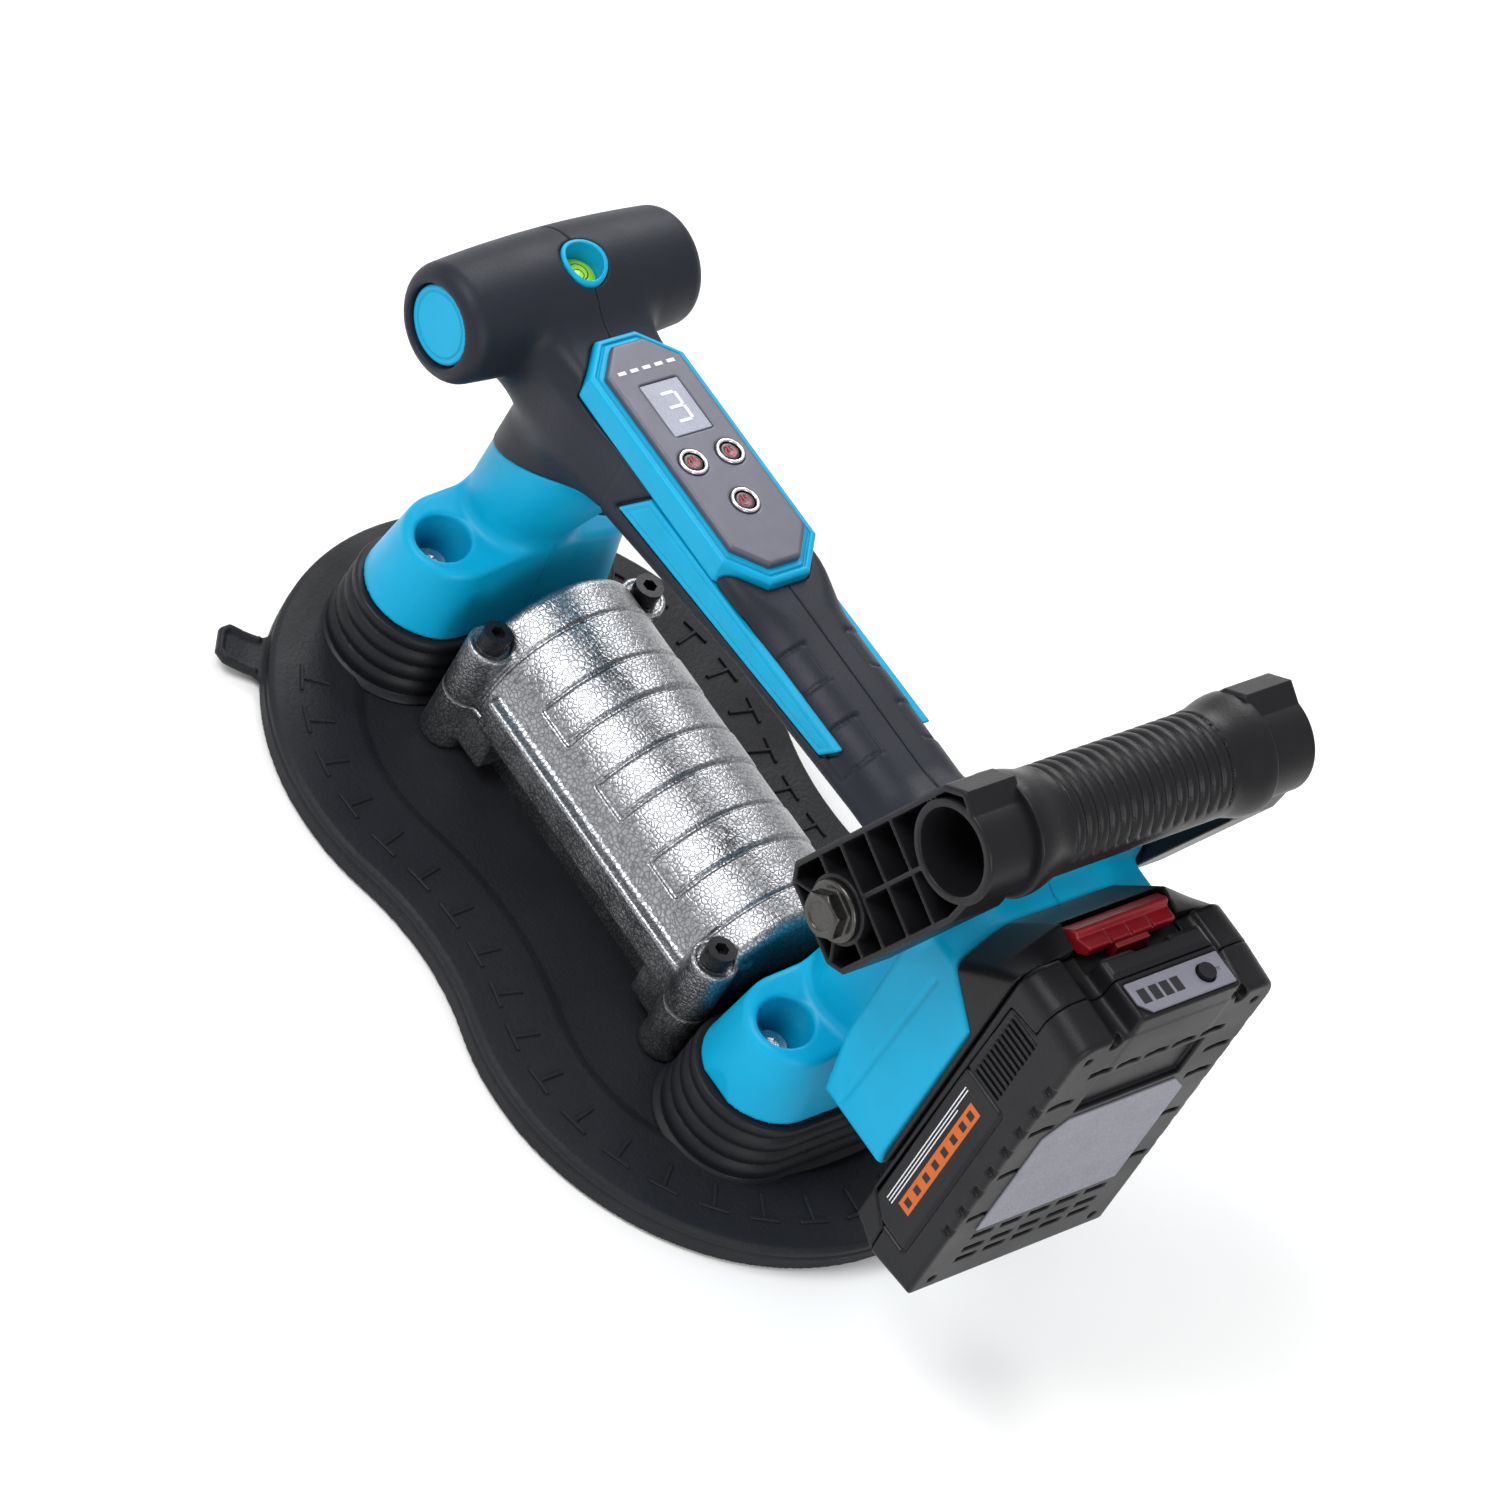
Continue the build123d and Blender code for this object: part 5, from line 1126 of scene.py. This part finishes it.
soft_box(
    bm, (WINDOW[0], WINDOW[1], OVERLAY_TOP - 0.4), (1, 0),
    (2 * WINDOW[2] + 0.8, 2 * WINDOW[3] + 0.8, 0.7), 0.2,
)
bm_piece("display_glass", bm, "display", "handle", slot="display")
bm = bmesh.new()
tall, wide, gap = 4.9, 2.6, 0.4
for row in (-1, 0, 1):
    soft_box(
        bm, (WINDOW[0] + row * tall, WINDOW[1], OVERLAY_TOP + 0.03), (0, 1),
        (2 * (wide - gap), 1.0, 0.12), 0.03,
    )
for row in (-0.5, 0.5):
    soft_box(
        bm, (WINDOW[0] + row * tall, WINDOW[1] + wide, OVERLAY_TOP + 0.03), (1, 0),
        (tall - gap, 1.0, 0.12), 0.03,
    )
bm_piece("display_digit", bm, "white_print", "handle", slot="display")
bm = bmesh.new()
for i in range(5):
    soft_box(bm, (-82.5, (i - 2) * 4.4, OVERLAY_TOP + 0.08), (1, 0), (1.2, 2.7, 0.35), 0.1)
bm_piece("status_bars", bm, "white_print", "handle", slot="display")


def level_cap(p):
    """The blue ring round the level's window."""
    off = np.hypot(p[0] - LEVEL.x, p[1])
    over_bar = np.hypot(p[0] - BAR.x, p[2] - BAR.z) - 19.4
    body = corner(corner(off - 7.25, over_bar, 0.5), 124.1 - p[2], 0.3)
    return cut(body, np.maximum(off - 5.9, 126 - p[2]), 0.4)


LEVEL_FACE, DOME_DROP = high_of("level_vial").z - 3.0, 11.2
solid(
    "level_rim", level_cap, [(LEVEL.x - 8, LEVEL.x + 8), (-8, 8), (124, 142)], 0.35, "blue_plastic",
    "handle", ["level_bezel"],
)


def level_dome(p):
    off = np.hypot(p[0] - LEVEL.x, p[1])
    dome = np.sqrt(off**2 + (p[2] - LEVEL_FACE + DOME_DROP) ** 2) - 12.4
    return corner(np.maximum(dome, off - 5.8), low_of("level_vial").z + 0.1 - p[2], 0.2)


def level_mark(p):
    off = np.hypot(p[0] - LEVEL.x, p[1])
    circle = np.abs(off - 2.9) - 0.14
    bubble = np.abs(np.hypot(p[0] - LEVEL.x - 0.9, p[1] + 0.6) - 1.7) - 0.12
    height = p[2] - LEVEL_FACE + DOME_DROP
    near_dome = np.abs(np.sqrt(off**2 + height**2) - 12.42) - 0.1
    return np.maximum(np.minimum(circle, bubble), near_dome)


level_span = [(LEVEL.x - 6, LEVEL.x + 6), (-6, 6)]
solid("level_window", level_dome, [*level_span, (126, 138)], 0.3, "level_fluid", "handle", ["level_vial"])
solid("level_marks", level_mark, [*level_span, (134, 138)], 0.12, "dark_hole", "handle", slot="level_fluid")


# ---------------------------------------------------------------- side inlays and end caps
def inlay(p):
    shape = polygon(p[0], p[2], INLAY)
    body = corner(shape + 0.1, between(np.abs(p[1]), 14.6, 17.25), 0.7)
    return press(body, np.maximum(np.abs(shape + 1.9) - 0.25, 16.5 - np.abs(p[1])), 0.25)


def end_cap(p):
    off = np.hypot(p[0] - BAR.x, p[2] - BAR.z)
    y = np.abs(p[1])
    body = corner(off - 11.6, between(y, 37.9, 41.0), 0.8)
    return press(body, np.maximum(np.abs(off - 9.6) - 0.3, 39 - y), 0.35)


for side, hand in SIDES:
    span_y = on_side(side, 14, 17.5)
    solid(
        f"inlay_{hand}", inlay, [(-58, 45), span_y, (110, 128)], 0.4, "blue_plastic", "handle",
        [f"side_inlay_{hand}"],
    )
    span_y = on_side(side, 37, 41.5)
    solid(
        f"bar_cap_{hand}", end_cap, [(-134, -108), span_y, (110, 136)], 0.4, "blue_plastic", "handle",
        [f"bar_end_cap_{hand}"],
    )


# ---------------------------------------------------------------- stage: floor, light, camera
def soft_light(name, place, target, size, power, color=(1, 1, 1)):
    lamp = bpy.data.lights.new(name, "AREA")
    lamp.shape = "RECTANGLE"
    lamp.size, lamp.size_y = size
    lamp.energy = power
    lamp.color = color
    holder = bpy.data.objects.new(name, lamp)
    bpy.context.collection.objects.link(holder)
    holder.location = place
    holder.rotation_euler = (Vector(target) - Vector(place)).to_track_quat("-Z", "Y").to_euler()


floor_mesh = bpy.data.meshes.new("floor")
floor_mesh.from_pydata([(-6, -6, 0), (6, -6, 0), (6, 6, 0), (-6, 6, 0)], [], [(0, 1, 2, 3)])
floor = bpy.data.objects.new("floor", floor_mesh)
bpy.context.collection.objects.link(floor)
floor_material, floor_tree, floor_main = shader("floor", (0.9, 0.9, 0.9), 0.7)
vary(floor_tree, floor_main, (0.9, 0.9, 0.9), 0.01, 4.0)
floor_mesh.materials.append(floor_material)

world = bpy.data.worlds.new("studio")
bpy.context.scene.world = world
world.use_nodes = True
world.node_tree.nodes["Background"].inputs["Color"].default_value = (1, 1, 1, 1)
world.node_tree.nodes["Background"].inputs["Strength"].default_value = 0.65
soft_light("key", (-0.6, -1.0, 1.6), (0, 0, 0.08), (0.9, 0.9), 26)
soft_light("rim", (-1.0, 0.9, 1.1), (0, 0, 0.08), (0.6, 1.2), 16)
soft_light("side", (1.4, -0.5, 0.7), (0.05, 0, 0.08), (0.7, 0.7), 9)

camera_data = bpy.data.cameras.new("camera")
camera_data.lens = 180
camera_data.sensor_width = 36
camera_data.clip_end = 50
camera = bpy.data.objects.new("camera", camera_data)
bpy.context.collection.objects.link(camera)
right = Vector((0.5458, 0.7441, 0.3852))
down = Vector((0.7613, -0.2484, -0.5989))
forward = Vector((-0.3500, 0.6202, -0.7021))
offset = Vector((-35.8, 39.4, 2121.8)) * MM
turn = Matrix((right, -down, -forward)).transposed()
place = right * offset.x + down * offset.y + forward * offset.z
camera.matrix_world = Matrix.Translation(-place) @ turn.to_4x4()
bpy.context.scene.camera = camera
bpy.context.scene.view_settings.view_transform = "Standard"
